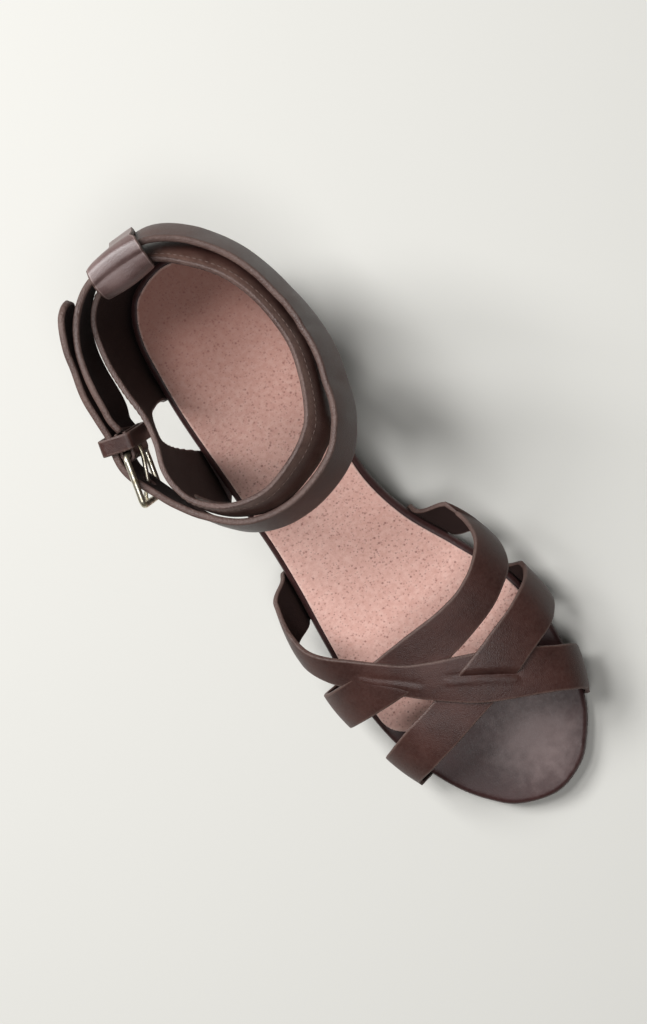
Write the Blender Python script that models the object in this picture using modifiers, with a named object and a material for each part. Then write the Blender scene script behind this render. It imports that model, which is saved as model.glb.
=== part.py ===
"""Ankle strap sandal for the right foot, standing on its sole and heel.

Metres, +Z up. The toe points to -Y, the inner (medial) side of the foot is +X.
Lengths "along" run on the footbed from the back of the heel to the toe tip,
"across" is measured from the centre line, "rise" is the height above the footbed.
"""

import math

import bmesh
import bpy
from mathutils import Vector

# Driving dimensions, millimetres and degrees
MM = 0.001
SHIFT_ACROSS = -1.0
SHIFT_ALONG = 117.3
FOOTBED_THICKNESS = 4.0
OUTSOLE_THICKNESS = 3.7
STACK_GAP = 0.3
LINING_THICKNESS = 0.8
LINING_INSET = 2.4
LINING_FRONT = 203.0
OUTSOLE_INSET = 0.8
SEAT_CUP = 1.2
TOP_PIECE_HEIGHT = 5.0

TOE_STRAP_THICKNESS = 1.8
LAYER_STEP = 1.55
LAST_AXIS = 1.0
LAST_WIDEST_RISE = 11.0
STRAP_FIRST_TURN = 115.0
TUCK_LENGTH = 6.0
SECTION_STEP = 6.0
POCKET_CLEARANCE = 0.55
POCKET_END_CLEARANCE = 1.0

QUARTER_THICKNESS = 2.0
BULGE_SKEW = 1.6
ROLL_SKEW = 4.0  # power that keeps the roll just under the top line
LOOP_THICKNESS = 1.7

ANKLE_STRAP_WIDTH = 16.0
ANKLE_STRAP_THICKNESS = 2.5
FOLD_THICKNESS = 1.2
KEEPER_WIDTH = 6.0
KEEPER_THICKNESS = 1.4
KEEPER_BACK = 4.9
KEEPER_INSIDE = -3.0
KEEPER_OUTSIDE = 6.8
BUCKLE = {"across": -40.1, "run": 67.6, "height": 100.2, "yaw": 15.9, "pitch": 11.5, "lean": 9.0}
BUCKLE_LENGTH = 20.4
BUCKLE_HEIGHT = 22.0
BUCKLE_WIRE = 2.3
BUCKLE_CORNER = 2.0
PRONG_WIRE = 1.6


def table(columns, *rows):
    """Rows of numbers turned into dictionaries with the named columns."""
    names = columns.split()
    return [dict(zip(names, row)) for row in rows]


# Footbed edge: half widths to the outer (lateral) and inner (medial) side
OUTLINE = table(
    "along lateral medial",
    (3.5, 12.8, 12.6),
    (9.5, 19.0, 19.6),
    (20.0, 23.6, 25.2),
    (35.0, 25.8, 27.5),
    (50.0, 27.2, 27.2),
    (70.0, 28.0, 23.7),
    (90.0, 28.9, 18.9),
    (110.0, 29.9, 17.0),
    (130.0, 32.0, 20.5),
    (150.0, 34.8, 29.1),
    (170.0, 36.9, 37.6),
    (185.0, 36.8, 40.2),
    (200.0, 35.0, 39.9),
    (215.0, 30.7, 38.2),
    (228.0, 24.5, 34.0),
    (238.0, 17.0, 27.5),
    (245.5, 8.2, 19.5),
)
HEEL_END_ACROSS = -0.3
TOE_END = {"along": 249.6, "across": 6.5}

# Side view of the footbed's upper face
PROFILE = table(
    "along run height",
    (0, 0.0, 58.5),
    (20, 19.7, 55.0),
    (40, 39.3, 51.3),
    (60, 58.8, 46.7),
    (80, 77.6, 39.8),
    (100, 95.9, 31.8),
    (120, 114.1, 23.6),
    (140, 132.9, 16.7),
    (160, 152.3, 12.0),
    (180, 172.1, 9.4),
    (200, 192.1, 8.3),
    (220, 212.1, 8.0),
    (240, 232.1, 8.6),
    (252, 244.0, 9.8),
)

# Forefoot of the last that the toe straps lie on: half widths and height
LAST = table(
    "along lateral medial height",
    (118, 35.6, 23.5, 46.0),
    (130, 39.4, 28.4, 44.0),
    (140, 41.8, 36.2, 42.0),
    (150, 43.4, 40.4, 39.5),
    (160, 43.9, 42.6, 37.5),
    (172, 43.7, 44.8, 35.5),
    (188, 42.2, 46.4, 33.0),
    (203, 37.9, 44.8, 30.5),
    (218, 32.7, 40.6, 27.5),
    (232, 26.0, 33.6, 24.5),
)

# Toe straps: "turn" is the angle round the last (0 on top, + medial, - lateral), then
# where the heel side edge and the toe side edge lie
STRAP_COLUMNS = "turn heel_edge toe_edge"
REAR_STRAP = table(
    STRAP_COLUMNS,
    (115, 131.0, 147.5),
    (95, 137.0, 154.5),
    (80, 142.8, 161.5),
    (65, 149.6, 168.0),
    (52, 154.5, 172.0),
    (38, 160.0, 177.0),
    (25, 163.3, 180.5),
    (10, 165.0, 183.4),
    (-4, 165.6, 185.2),
    (-16, 166.4, 186.2),
    (-30, 167.5, 186.4),
    (-45, 168.2, 186.3),
    (-60, 168.8, 186.1),
    (-85, 169.3, 186.0),
    (-115, 169.5, 186.0),
)
CROSS_STRAP = table(
    STRAP_COLUMNS,
    (-115, 124.0, 145.0),
    (-100, 126.0, 147.5),
    (-88, 129.5, 151.0),
    (-76, 138.0, 156.5),
    (-62, 148.0, 163.5),
    (-48, 155.0, 171.0),
    (-35, 162.0, 179.0),
    (-24, 168.8, 186.5),
    (-13, 176.3, 194.5),
    (-3, 181.0, 201.0),
    (7, 184.5, 206.2),
    (18, 188.5, 210.3),
    (32, 194.5, 214.5),
    (46, 199.6, 218.0),
    (62, 204.0, 221.2),
    (88, 207.5, 224.0),
    (115, 209.5, 225.0),
)
FRONT_STRAP = table(
    STRAP_COLUMNS,
    (115, 168.5, 184.5),
    (100, 170.5, 186.5),
    (85, 172.3, 189.5),
    (72, 174.8, 193.0),
    (58, 177.5, 196.3),
    (44, 181.0, 199.5),
    (30, 184.2, 203.3),
    (17, 187.8, 206.8),
    (3, 191.5, 209.5),
    (-10, 194.0, 211.7),
    (-22, 196.2, 213.6),
    (-36, 198.3, 215.2),
    (-50, 200.3, 216.5),
    (-67, 202.0, 217.3),
    (-90, 203.0, 218.0),
    (-115, 203.3, 218.2),
)

# Weave: layer of a strap (+1 over, -1 under the cross strap) where its heel side edge
# and its toe side edge reach each turn
REAR_WEAVE = table(
    "heel_turn toe_turn layer",
    (45.0, 61.0, 0.0),
    (-10.0, 18.0, -1.0),
    (-35.5, -13.0, -1.0),
    (-38.5, -16.0, 1.0),
    (-54.0, -30.0, 1.0),
    (-86.0, -70.0, 0.0),
)
FRONT_WEAVE = table(
    "heel_turn toe_turn layer",
    (72.0, 84.0, 0.0),
    (36.0, 54.0, 1.0),
    (5.0, 29.5, 1.0),
    (2.0, 26.5, -1.0),
    (-16.0, 8.0, -1.0),
    (-50.0, -34.0, 0.0),
)

# Quarter: its top line round the ankle and where each section meets the footbed's
# level; "run" is the distance in front of the heel end
QUARTER = table(
    "top_across top_run top_height foot_across foot_run foot_height bulge roll",
    (-7.5, 5.8, 107.0, -3.0, -1.4, 53.5, 3.6, 0.0),
    (2.0, 7.0, 107.0, 5.0, -1.1, 53.5, 4.8, 0.0),
    (8.6, 11.4, 107.0, 13.0, 1.0, 53.0, 6.0, 0.4),
    (14.2, 17.0, 107.0, 19.5, 5.4, 52.4, 6.2, 0.8),
    (19.0, 22.6, 107.0, 23.6, 11.4, 51.4, 5.6, 1.1),
    (23.4, 29.6, 107.0, 27.4, 20.5, 49.8, 4.8, 1.5),
    (26.7, 38.8, 107.0, 29.2, 33.0, 47.5, 4.0, 1.8),
    (28.4, 49.4, 107.5, 28.8, 46.5, 45.0, 3.0, 2.5),
    (28.5, 60.6, 108.5, 26.9, 60.5, 41.5, 2.2, 3.6),
    (25.9, 71.0, 109.5, 24.0, 73.0, 37.5, 1.4, 4.6),
    (21.9, 80.6, 110.5, 24.0, 90.0, 34.0, 0.6, 5.0),
    (17.0, 87.4, 111.0, 32.0, 102.0, 34.0, 0.0, 4.4),
    (7.6, 93.4, 111.5, 18.0, 113.0, 34.0, 0.0, 3.4),
    (-6.4, 97.4, 111.5, -8.0, 119.0, 34.0, 0.0, 2.4),
    (-19.4, 94.6, 111.5, -27.0, 108.0, 34.0, 0.0, 0.8),
    (-28.2, 87.0, 111.5, -34.0, 95.0, 34.0, 0.0, 0.0),
    (-31.4, 79.0, 111.0, -32.5, 86.5, 34.0, 0.6, 0.0),
    (-31.4, 71.0, 110.5, -30.4, 73.5, 37.5, 1.4, 0.0),
    (-28.8, 62.0, 108.5, -29.2, 62.0, 41.0, 1.4, 0.0),
    (-27.4, 52.0, 107.0, -28.6, 51.5, 44.0, 1.4, 0.0),
    (-28.0, 40.0, 106.5, -27.6, 39.0, 46.5, 1.6, 0.0),
    (-27.4, 27.6, 106.5, -26.8, 28.0, 48.5, 1.4, 0.0),
    (-24.0, 15.0, 106.5, -22.3, 11.2, 51.5, 1.0, 0.0),
    (-17.0, 8.2, 107.0, -13.2, 1.2, 53.0, 2.2, 0.0),
)

# Side openings of the quarter as (run, height) corners
WINDOW = table(
    "run height",
    (42.0, 20.0),
    (42.0, 54.0),
    (46.0, 74.0),
    (49.0, 84.0),
    (53.0, 92.0),
    (57.0, 97.0),
    (60.0, 97.0),
    (62.0, 84.0),
    (63.0, 60.0),
    (63.5, 20.0),
)
FRONT_OPENING = table(
    "run height",
    (85.0, 20.0),
    (85.0, 60.0),
    (83.5, 78.0),
    (82.5, 88.0),
    (84.5, 94.0),
    (90.0, 97.5),
    (97.0, 99.5),
    (190.0, 99.5),
    (190.0, 20.0),
)

# Ankle strap: middle line, from the buckle end round the heel, the inner side and the
# front to the free tail; "lean" tips the upper edge outwards
ANKLE_STRAP = table(
    "across run height lean width",
    (-35.3, 52.0, 103.5, 9, 16),
    (-35.8, 47.5, 104.5, 11, 16),
    (-34.7, 43.0, 105.4, 16, 16),
    (-33.9, 37.0, 106.4, 17, 16),
    (-32.9, 29.0, 107.0, 13, 16),
    (-30.9, 20.6, 106.8, 8, 16),
    (-26.8, 12.0, 106.0, 1, 16),
    (-18.6, 3.8, 104.1, -7, 16),
    (-6.0, 0.2, 104.0, -16, 16),
    (8.1, -0.3, 101.6, -24, 16),
    (19.8, 7.3, 99.0, -21, 16),
    (28.6, 19.5, 97.4, -17, 16),
    (33.4, 31.9, 96.4, -14, 16),
    (35.8, 44.7, 96.0, -14, 16),
    (36.8, 53.5, 96.0, -15, 16),
    (36.8, 61.2, 96.2, -17, 16),
    (35.8, 69.6, 96.6, -18, 16),
    (33.4, 78.4, 97.0, -19, 16),
    (29.8, 88.8, 97.4, -19, 16),
    (20.6, 100.4, 97.3, -20, 16),
    (5.6, 106.3, 97.0, -18, 16),
    (-8.0, 106.8, 97.0, -15, 16),
    (-20.0, 102.4, 97.0, -10, 16),
    (-29.4, 93.0, 97.2, -3, 16),
    (-35.2, 83.0, 97.8, 4, 16),
    (-38.4, 75.4, 98.8, 7, 16),
    (-41.2, 68.2, 100.1, 9, 16),
    (-42.3, 63.0, 101.2, 9, 16),
    (-41.7, 57.8, 102.2, 9, 16),
    (-40.0, 52.8, 103.4, 9, 16),
    (-38.9, 44.5, 105.2, 13, 16),
    (-37.9, 36.0, 107.0, 15, 16),
    (-35.6, 27.0, 108.4, 13, 16),
    (-33.7, 18.3, 109.4, 9, 16),
    (-30.7, 10.8, 110.0, 5, 15.4),
    (-28.2, 7.2, 110.0, 3, 13),
    (-26.4, 5.4, 110.0, 2, 8),
    (-25.7, 4.8, 110.0, 0, 4),
)


def slope_limited(left, right):
    """Tangent for a smooth curve that never overshoots its rows."""
    if left * right <= 0.0:
        return 0.0
    return 2.0 * left * right / (left + right)


def look_up(rows, key, at, column):
    """Smooth value of a column where another column reaches a given value."""
    ordered = sorted(rows, key=lambda row: row[key])
    at = min(max(at, ordered[0][key]), ordered[-1][key])
    index = 0
    while index < len(ordered) - 2 and ordered[index + 1][key] < at:
        index += 1
    slopes = [
        (after[column] - before[column]) / (after[key] - before[key])
        for before, after in zip(ordered, ordered[1:])
    ]
    start, stop = ordered[index], ordered[index + 1]
    middle = slopes[index]
    first = slope_limited(slopes[index - 1], middle) if index else middle
    last = slope_limited(middle, slopes[index + 1]) if index + 1 < len(slopes) else middle
    span = stop[key] - start[key]
    part = (at - start[key]) / span
    square, cube = part * part, part * part * part
    return (
        (2 * cube - 3 * square + 1) * start[column]
        + (cube - 2 * square + part) * span * first
        + (3 * square - 2 * cube) * stop[column]
        + (cube - square) * span * last
    )


def smooth_rows(rows, steps, closed=False):
    """Rows with extra ones blended in between on a smooth curve through them all."""
    count = len(rows)
    names = list(rows[0])
    result = []
    spans = count if closed else count - 1
    for index in range(spans):
        if closed:
            near = [rows[(index + offset) % count] for offset in (-1, 0, 1, 2)]
        else:
            near = [rows[min(max(index + offset, 0), count - 1)] for offset in (-1, 0, 1, 2)]
        for step in range(steps):
            part = step / steps
            blended = {}
            for name in names:
                before, start, stop, after = (row[name] for row in near)
                blended[name] = 0.5 * (
                    2 * start
                    + (stop - before) * part
                    + (2 * before - 5 * start + 4 * stop - after) * part ** 2
                    + (3 * start - before - 3 * stop + after) * part ** 3
                )
            result.append(blended)
    if not closed:
        result.append(dict(rows[-1]))
    return result


def world(across, run, height):
    """Point in metres from millimetres measured at the heel end and the floor."""
    return Vector((across + SHIFT_ACROSS, SHIFT_ALONG - run, height)) * MM


def footbed_point(across, along, rise):
    """Point above the footbed, square to its upper face."""
    run = look_up(PROFILE, "along", along, "run")
    height = look_up(PROFILE, "along", along, "height")
    behind = look_up(PROFILE, "along", along - 1.5, "height")
    ahead = look_up(PROFILE, "along", along + 1.5, "height")
    pitch = math.atan2(behind - ahead, 3.0)
    cup = SEAT_CUP * max(0.0, min(1.0, (115.0 - along) / 50.0)) * (across / 27.0) ** 2
    total = rise + cup
    return world(across, run + total * math.sin(pitch), height + total * math.cos(pitch))


def half_width(side, along):
    """Distance from the centre line to the footbed's edge on one side."""
    return look_up(OUTLINE, "along", along, "medial" if side > 0 else "lateral")


def rim_point(side, along, outside, rise):
    """Point beside the footbed's edge, measured square to the edge in plan."""
    width = half_width(side, along)
    turn = math.atan2(half_width(side, along + 1.0) - half_width(side, along - 1.0), 2.0)
    across = side * (width + outside * math.cos(turn))
    return footbed_point(across, along - outside * math.sin(turn), rise)


def outline_loop(inset, last_along=None):
    """Closed plan outline (across, along) of the footbed, drawn in by an inset."""
    medial = [{"across": row["medial"], "along": row["along"]} for row in OUTLINE]
    lateral = [{"across": -row["lateral"], "along": row["along"]} for row in OUTLINE]
    heel = {"across": HEEL_END_ACROSS, "along": 0.0}
    corners = [heel] + medial + [dict(TOE_END)] + lateral[::-1]
    points = smooth_rows(corners, 3, closed=True)
    loop = []
    for index, point in enumerate(points):
        before, after = points[index - 1], points[(index + 1) % len(points)]
        way = Vector((after["across"] - before["across"], after["along"] - before["along"]))
        way.normalize()
        across = point["across"] - way.y * inset
        along = point["along"] + way.x * inset
        loop.append((across, along))
    return loop


def lining_loop():
    """Plan outline of the sock lining: inside the rim, with a rounded front end."""
    loop = [point for point in outline_loop(LINING_INSET) if point[1] < LINING_FRONT - 14.0]
    front = []
    side_width = {1: 0.0, -1: 0.0}
    for side in (1, -1):
        side_width[side] = half_width(side, LINING_FRONT - 14.0) - LINING_INSET
    for degrees in range(0, 181, 15):
        angle = math.radians(degrees)
        side = 1 if degrees < 90 else -1
        across = side_width[side] * abs(math.cos(angle)) ** 0.55 * side
        along = LINING_FRONT - 14.0 + 14.0 * math.sin(angle) ** 0.8
        front.append((across, along))
    split = max(range(len(loop)), key=lambda index: loop[index][0] > 0 and loop[index][1])
    return loop[: split + 1] + front + loop[split + 1 :]


def new_object(name, mesh, material):
    """Object in the model's collection with one material."""
    thing = bpy.data.objects.new(name, mesh)
    MODEL.objects.link(thing)
    if material is not None:
        thing.data.materials.append(material)
    return thing


def finish_mesh(name, shape):
    """Mesh data from an edit mesh, with its faces turned outwards."""
    bmesh.ops.recalc_face_normals(shape, faces=shape.faces)
    mesh = bpy.data.meshes.new(name)
    shape.to_mesh(mesh)
    shape.free()
    return mesh


def flat_grid(loop, along_step, columns):
    """Flat face of a plan outline, cut into strips so that it can follow a curved bed."""
    shape = bmesh.new()
    corners = [shape.verts.new((across, along, 0.0)) for across, along in loop]
    shape.faces.new(corners)
    longest = max(along for _, along in loop)
    along = along_step
    while along < longest - 2.0:
        cut_flat(shape, (0.0, along, 0.0), (0.0, 1.0, 0.0))
        along += along_step
    for across in columns:
        cut_flat(shape, (across, 0.0, 0.0), (1.0, 0.0, 0.0))
    return shape


def cut_flat(shape, point, normal):
    """Splits every face of a shape along a plane."""
    geometry = shape.verts[:] + shape.edges[:] + shape.faces[:]
    bmesh.ops.bisect_plane(shape, geom=geometry, dist=0.05, plane_co=point, plane_no=normal)


def bent_board(name, loop, top_rise, thickness, material, grounded=False, along_step=8.0):
    """Board that follows the footbed: a flat outline bent along the side profile."""
    shape = flat_grid(loop, along_step, (-16.0, 0.0, 16.0))
    upper = list(shape.verts)
    copied = bmesh.ops.extrude_face_region(shape, geom=shape.faces[:])
    lower = [item for item in copied["geom"] if isinstance(item, bmesh.types.BMVert)]
    for vertex in upper:
        vertex.co = footbed_point(vertex.co.x, vertex.co.y, top_rise)
    for vertex in lower:
        vertex.co = footbed_point(vertex.co.x, vertex.co.y, top_rise - thickness)
        if grounded:
            vertex.co.z = max(vertex.co.z - 0.25 * MM, 0.0)
    return new_object(name, finish_mesh(name, shape), material)


def add_bevel(thing, width, segments=2, angle=40.0):
    """Rounded edges."""
    bevel = thing.modifiers.new("edges", "BEVEL")
    bevel.width = width * MM
    bevel.segments = segments
    bevel.limit_method = "ANGLE"
    bevel.angle_limit = math.radians(angle)


def apply_modifiers(thing):
    """Replaces an object's mesh by the one that its modifiers make."""
    graph = bpy.context.evaluated_depsgraph_get()
    made = bpy.data.meshes.new_from_object(thing.evaluated_get(graph))
    thing.modifiers.clear()
    thing.data = made


def combine(thing, other, operation):
    """Boolean of two meshes; the second object is used up."""
    boolean = thing.modifiers.new("join", "BOOLEAN")
    boolean.operation = operation
    boolean.object = other
    boolean.solver = "EXACT"
    apply_modifiers(thing)
    bpy.data.objects.remove(other)


def ribbon_mesh(name, sections, thickness, closed=False):
    """Strap of leather: rows of points across its width, thickened on both sides."""
    shape = bmesh.new()
    grid = [[shape.verts.new(point) for point in section] for section in sections]
    rows = len(grid)
    for index in range(rows if closed else rows - 1):
        here, following = grid[index], grid[(index + 1) % rows]
        for column in range(len(here) - 1):
            corners = (here[column], here[column + 1], following[column + 1], following[column])
            shape.faces.new(corners)
    mesh = finish_mesh(name, shape)
    strap = new_object(name, mesh, None)
    solidify = strap.modifiers.new("thickness", "SOLIDIFY")
    solidify.thickness = thickness * MM
    solidify.offset = 0.0
    solidify.use_even_offset = True
    return strap


# Toe straps

def last_point(turn, along, layer):
    """Point on the last's forefoot, lifted by its layer in the weave."""
    side = 1 if turn > 0 else -1
    reach = look_up(LAST, "along", along, "medial" if side > 0 else "lateral")
    height = look_up(LAST, "along", along, "height")
    lift = layer * LAYER_STEP
    angle = math.radians(turn)
    if abs(turn) <= 90.0:
        widest = reach - side * LAST_AXIS
        across = LAST_AXIS + (widest + lift) * math.sin(angle)
        rise = LAST_WIDEST_RISE + (height - LAST_WIDEST_RISE + lift) * math.cos(angle)
        return footbed_point(across, along, rise)
    part = (abs(turn) - 90.0) / (STRAP_FIRST_TURN - 90.0)
    eased = part * part * (3.0 - 2.0 * part)
    outside = (reach - half_width(side, along)) * (1.0 - eased) + 1.35 * eased
    return rim_point(side, along, outside, LAST_WIDEST_RISE * (1.0 - part))


TUCK = table(
    "outside rise",
    (1.35, -1.2),
    (1.35, -2.8),
    (1.2, -4.2),
    (0.55, -5.1),
    (-0.6, -5.35),
    (0.8 - TUCK_LENGTH, -5.35),
    (-TUCK_LENGTH, -5.35),
)


def tuck_sections(rows, end, widen=0.0, deepen=0.0):
    """Sections of a strap's end: down past the rim and in under the footbed."""
    turn = rows[end]["turn"]
    side = 1 if turn > 0 else -1
    sections = []
    for step in TUCK:
        section = []
        for part in (0.0, 0.25, 0.5, 0.75, 1.0):
            along = strap_along(rows, turn, part, widen)
            deeper = deepen if step is TUCK[-1] else 0.0
            section.append(rim_point(side, along, step["outside"] - deeper, step["rise"]))
        sections.append(section)
    return sections


def strap_along(rows, turn, part, widen=0.0):
    """Position along the foot, part of the way from a strap's heel side to its toe side."""
    start = look_up(rows, "turn", turn, "heel_edge") - widen
    stop = look_up(rows, "turn", turn, "toe_edge") + widen
    return start + (stop - start) * part


def weave_value(weave, turn, values):
    """Value blended straight between the lines of a weave, steady beyond them."""
    middles = [(row["heel_turn"] + row["toe_turn"]) * 0.5 for row in weave]
    if not weave or turn >= middles[0]:
        return values[0]
    for index in range(len(weave) - 1):
        if turn >= middles[index + 1]:
            share = (middles[index] - turn) / (middles[index] - middles[index + 1])
            return values[index] + (values[index + 1] - values[index]) * share
    return values[-1]


def section_turns(rows, weave):
    """Turns of a strap's sections: every few degrees, and one on each line of its weave."""
    first, last = rows[0]["turn"], rows[-1]["turn"]
    way = 1.0 if last > first else -1.0
    stops = [first] + [(row["heel_turn"] + row["toe_turn"]) * 0.5 for row in weave] + [last]
    turns = [first]
    for start, stop in zip(stops, stops[1:]):
        pieces = max(1, round(abs(stop - start) / SECTION_STEP))
        turns += [start + way * abs(stop - start) * (piece + 1) / pieces for piece in range(pieces)]
    return turns


def strap_sections(rows, weave):
    """All sections of a toe strap, with both ends tucked under."""
    layers = [row["layer"] for row in weave] or [0.0]
    skews = [row["toe_turn"] - row["heel_turn"] for row in weave] or [0.0]
    if weave:
        skews[0] = skews[-1] = 0.0
    middle = []
    for turn in section_turns(rows, weave):
        layer = weave_value(weave, turn, layers)
        skew = weave_value(weave, turn, skews)
        section = []
        for step in range(5):
            part = step / 4.0
            own_turn = turn + (part - 0.5) * skew
            section.append(last_point(own_turn, strap_along(rows, own_turn, part), layer))
        middle.append(section)
    return tuck_sections(rows, 0)[::-1] + middle + tuck_sections(rows, -1)


def make_toe_straps(material):
    """Three woven straps joined where they cross."""
    straps = []
    for name, rows, weave in (
        ("rear", REAR_STRAP, REAR_WEAVE),
        ("cross", CROSS_STRAP, []),
        ("front", FRONT_STRAP, FRONT_WEAVE),
    ):
        strap = ribbon_mesh(name, strap_sections(rows, weave), TOE_STRAP_THICKNESS)
        apply_modifiers(strap)
        straps.append(strap)
    joined = straps[1]
    combine(joined, straps[0], "UNION")
    combine(joined, straps[2], "UNION")
    joined.name = "toe_straps"
    joined.data.materials.clear()
    joined.data.materials.append(material)
    return joined


def pocket_cutter(rows, end):
    """Room in the outsole for the end of one strap."""
    sections = tuck_sections(rows, end, POCKET_END_CLEARANCE, POCKET_END_CLEARANCE)
    cutter = ribbon_mesh("pocket", sections, TOE_STRAP_THICKNESS + 2 * POCKET_CLEARANCE)
    apply_modifiers(cutter)
    return cutter


# Sole parts

def make_footbed(material):
    """Leather covered board that the foot stands on."""
    footbed = bent_board("footbed", outline_loop(0.0), 0.0, FOOTBED_THICKNESS, material)
    add_bevel(footbed, 1.1, 1)
    return footbed


def make_lining(material):
    """Sock lining of thin leather on the footbed."""
    rise = STACK_GAP + LINING_THICKNESS
    lining = bent_board("sock_lining", lining_loop(), rise, LINING_THICKNESS, material)
    return lining


def make_outsole(material):
    """Thin outsole, flat under the ball of the foot, with room for the strap ends."""
    rise = -FOOTBED_THICKNESS - STACK_GAP
    loop = outline_loop(OUTSOLE_INSET)
    outsole = bent_board("outsole", loop, rise, OUTSOLE_THICKNESS, material, grounded=True)
    for rows in (REAR_STRAP, CROSS_STRAP, FRONT_STRAP):
        for end in (0, -1):
            combine(outsole, pocket_cutter(rows, end), "DIFFERENCE")
    return outsole


HEEL_SECTIONS = table(
    "height lateral medial back breast",
    (0.0, 17.5, 17.5, 5.0, 44.0),
    (5.0, 17.6, 17.6, 4.8, 44.0),
    (15.0, 18.2, 18.2, 4.2, 44.2),
    (30.0, 20.2, 20.2, 3.0, 46.2),
    (45.0, 23.2, 23.6, 1.8, 50.5),
    (62.0, 25.6, 26.4, 0.6, 56.0),
)


def heel_section(height):
    """Points round the heel at one height: a rounded back and a flat breast."""
    sizes = {
        name: look_up(HEEL_SECTIONS, "height", height, name)
        for name in ("lateral", "medial", "back", "breast")
    }
    depth = sizes["breast"] - sizes["back"]
    points = []
    for degrees in range(0, 181, 15):
        angle = math.radians(degrees)
        side = sizes["medial"] if degrees < 90 else sizes["lateral"]
        across = side * math.copysign(abs(math.cos(angle)) ** 0.8, math.cos(angle))
        run = sizes["back"] + depth * 0.55 * (1.0 - math.sin(angle) ** 0.8)
        points.append(world(across, run, height))
    points.append(world(-sizes["lateral"] * 0.97, sizes["back"] + depth * 0.8, height))
    points.append(world(-sizes["lateral"] * 0.9, sizes["breast"], height))
    points.append(world(0.0, sizes["breast"] - 1.5, height))
    points.append(world(sizes["medial"] * 0.9, sizes["breast"], height))
    points.append(world(sizes["medial"] * 0.97, sizes["back"] + depth * 0.8, height))
    return points


def heel_loft(name, heights, material):
    """Closed tapering block through the heel's sections."""
    shape = bmesh.new()
    rings = [[shape.verts.new(point) for point in heel_section(height)] for height in heights]
    for lower, upper in zip(rings, rings[1:]):
        for index in range(len(lower)):
            after = (index + 1) % len(lower)
            shape.faces.new((lower[index], lower[after], upper[after], upper[index]))
    shape.faces.new(rings[0][::-1])
    shape.faces.new(rings[-1])
    return new_object(name, finish_mesh(name, shape), material)


def make_heel(material, top_piece_material):
    """Covered block heel cut to the underside of the outsole, and its top piece."""
    low = TOP_PIECE_HEIGHT + STACK_GAP
    heel = heel_loft("heel", (low, 10.0, 18.0, 28.0, 38.0, 48.0, 62.0), material)
    clear = -FOOTBED_THICKNESS - 2 * STACK_GAP - OUTSOLE_THICKNESS - 0.42
    seat = bent_board("seat", outline_loop(-12.0), clear + 40.0, 40.0, None, along_step=6.0)
    combine(heel, seat, "DIFFERENCE")
    top_piece = heel_loft("top_piece", (0.0, TOP_PIECE_HEIGHT), top_piece_material)
    return heel, top_piece


# Quarter with its front band and heel loop

def quarter_sections():
    """Wall sections from the footbed's level up to the top line, all the way round."""
    sections = []
    for row in smooth_rows(QUARTER, 3, closed=True):
        top = world(row["top_across"], row["top_run"], row["top_height"])
        foot = world(row["foot_across"], row["foot_run"], row["foot_height"])
        outward = foot + top - 2.0 * world(0.0, 50.0, 0.0)
        outward.z = 0.0
        outward.normalize()
        section = []
        for part in (0.0, 0.16, 0.32, 0.48, 0.62, 0.74, 0.84, 0.93, 1.0):
            bulge = row["bulge"] * MM * math.sin(math.pi * part ** BULGE_SKEW)
            bulge += row["roll"] * MM * math.sin(math.pi * part ** ROLL_SKEW)
            section.append(foot.lerp(top, part) + outward * bulge)
        sections.append(section)
    return sections


def side_cutter(name, corners):
    """Prism across the whole shoe with the given side view."""
    shape = bmesh.new()
    ends = []
    for across in (-90.0, 90.0):
        ring = [shape.verts.new(world(across, row["run"], row["height"])) for row in corners]
        ends.append(ring)
    for index in range(len(corners)):
        after = (index + 1) % len(corners)
        shape.faces.new((ends[0][index], ends[0][after], ends[1][after], ends[1][index]))
    shape.faces.new(ends[0][::-1])
    shape.faces.new(ends[1])
    return new_object(name, finish_mesh(name, shape), None)


LOOP_PATH = table(
    "run height across width curve",
    (8.6, 102.0, -5.0, 18.0, 0.0),
    (10.9, 105.0, -5.0, 19.5, -0.006),
    (11.5, 107.6, -5.0, 20.5, -0.012),
    (10.2, 110.2, -5.0, 21.0, -0.008),
    (7.6, 111.8, -5.0, 21.5, 0.0),
    (5.4, 112.7, -5.0, 21.5, 0.004),
    (4.0, 113.8, -4.8, 21.5, 0.008),
    (2.4, 114.2, -4.6, 21.5, 0.01),
    (0.8, 114.1, -4.4, 21.0, 0.01),
    (-0.6, 112.9, -4.0, 20.0, 0.01),
    (-1.3, 111.6, -1.5, 13.0, 0.008),
    (-2.0, 109.2, 0.2, 10.4, 0.004),
    (-3.6, 104.0, 0.2, 10.2, 0.004),
    (-5.4, 99.4, 0.0, 10.0, 0.002),
    (-6.5, 95.8, -0.4, 10.0, 0.002),
    (-6.5, 93.0, -0.7, 10.0, 0.004),
    (-5.2, 90.8, -1.0, 10.0, 0.008),
    (-3.4, 88.8, -1.0, 10.0, 0.01),
    (-0.4, 87.2, -1.0, 10.0, 0.012),
)


def make_heel_loop():
    """Leather loop on the back of the quarter that carries the ankle strap."""
    sections = []
    for row in LOOP_PATH:
        section = []
        for part in range(5):
            across = (part / 4.0 - 0.5) * row["width"]
            run = row["run"] + row["curve"] * across * across
            section.append(world(row["across"] + across, run, row["height"]))
        sections.append(section)
    loop = ribbon_mesh("heel_loop", sections, LOOP_THICKNESS)
    apply_modifiers(loop)
    return loop


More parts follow.
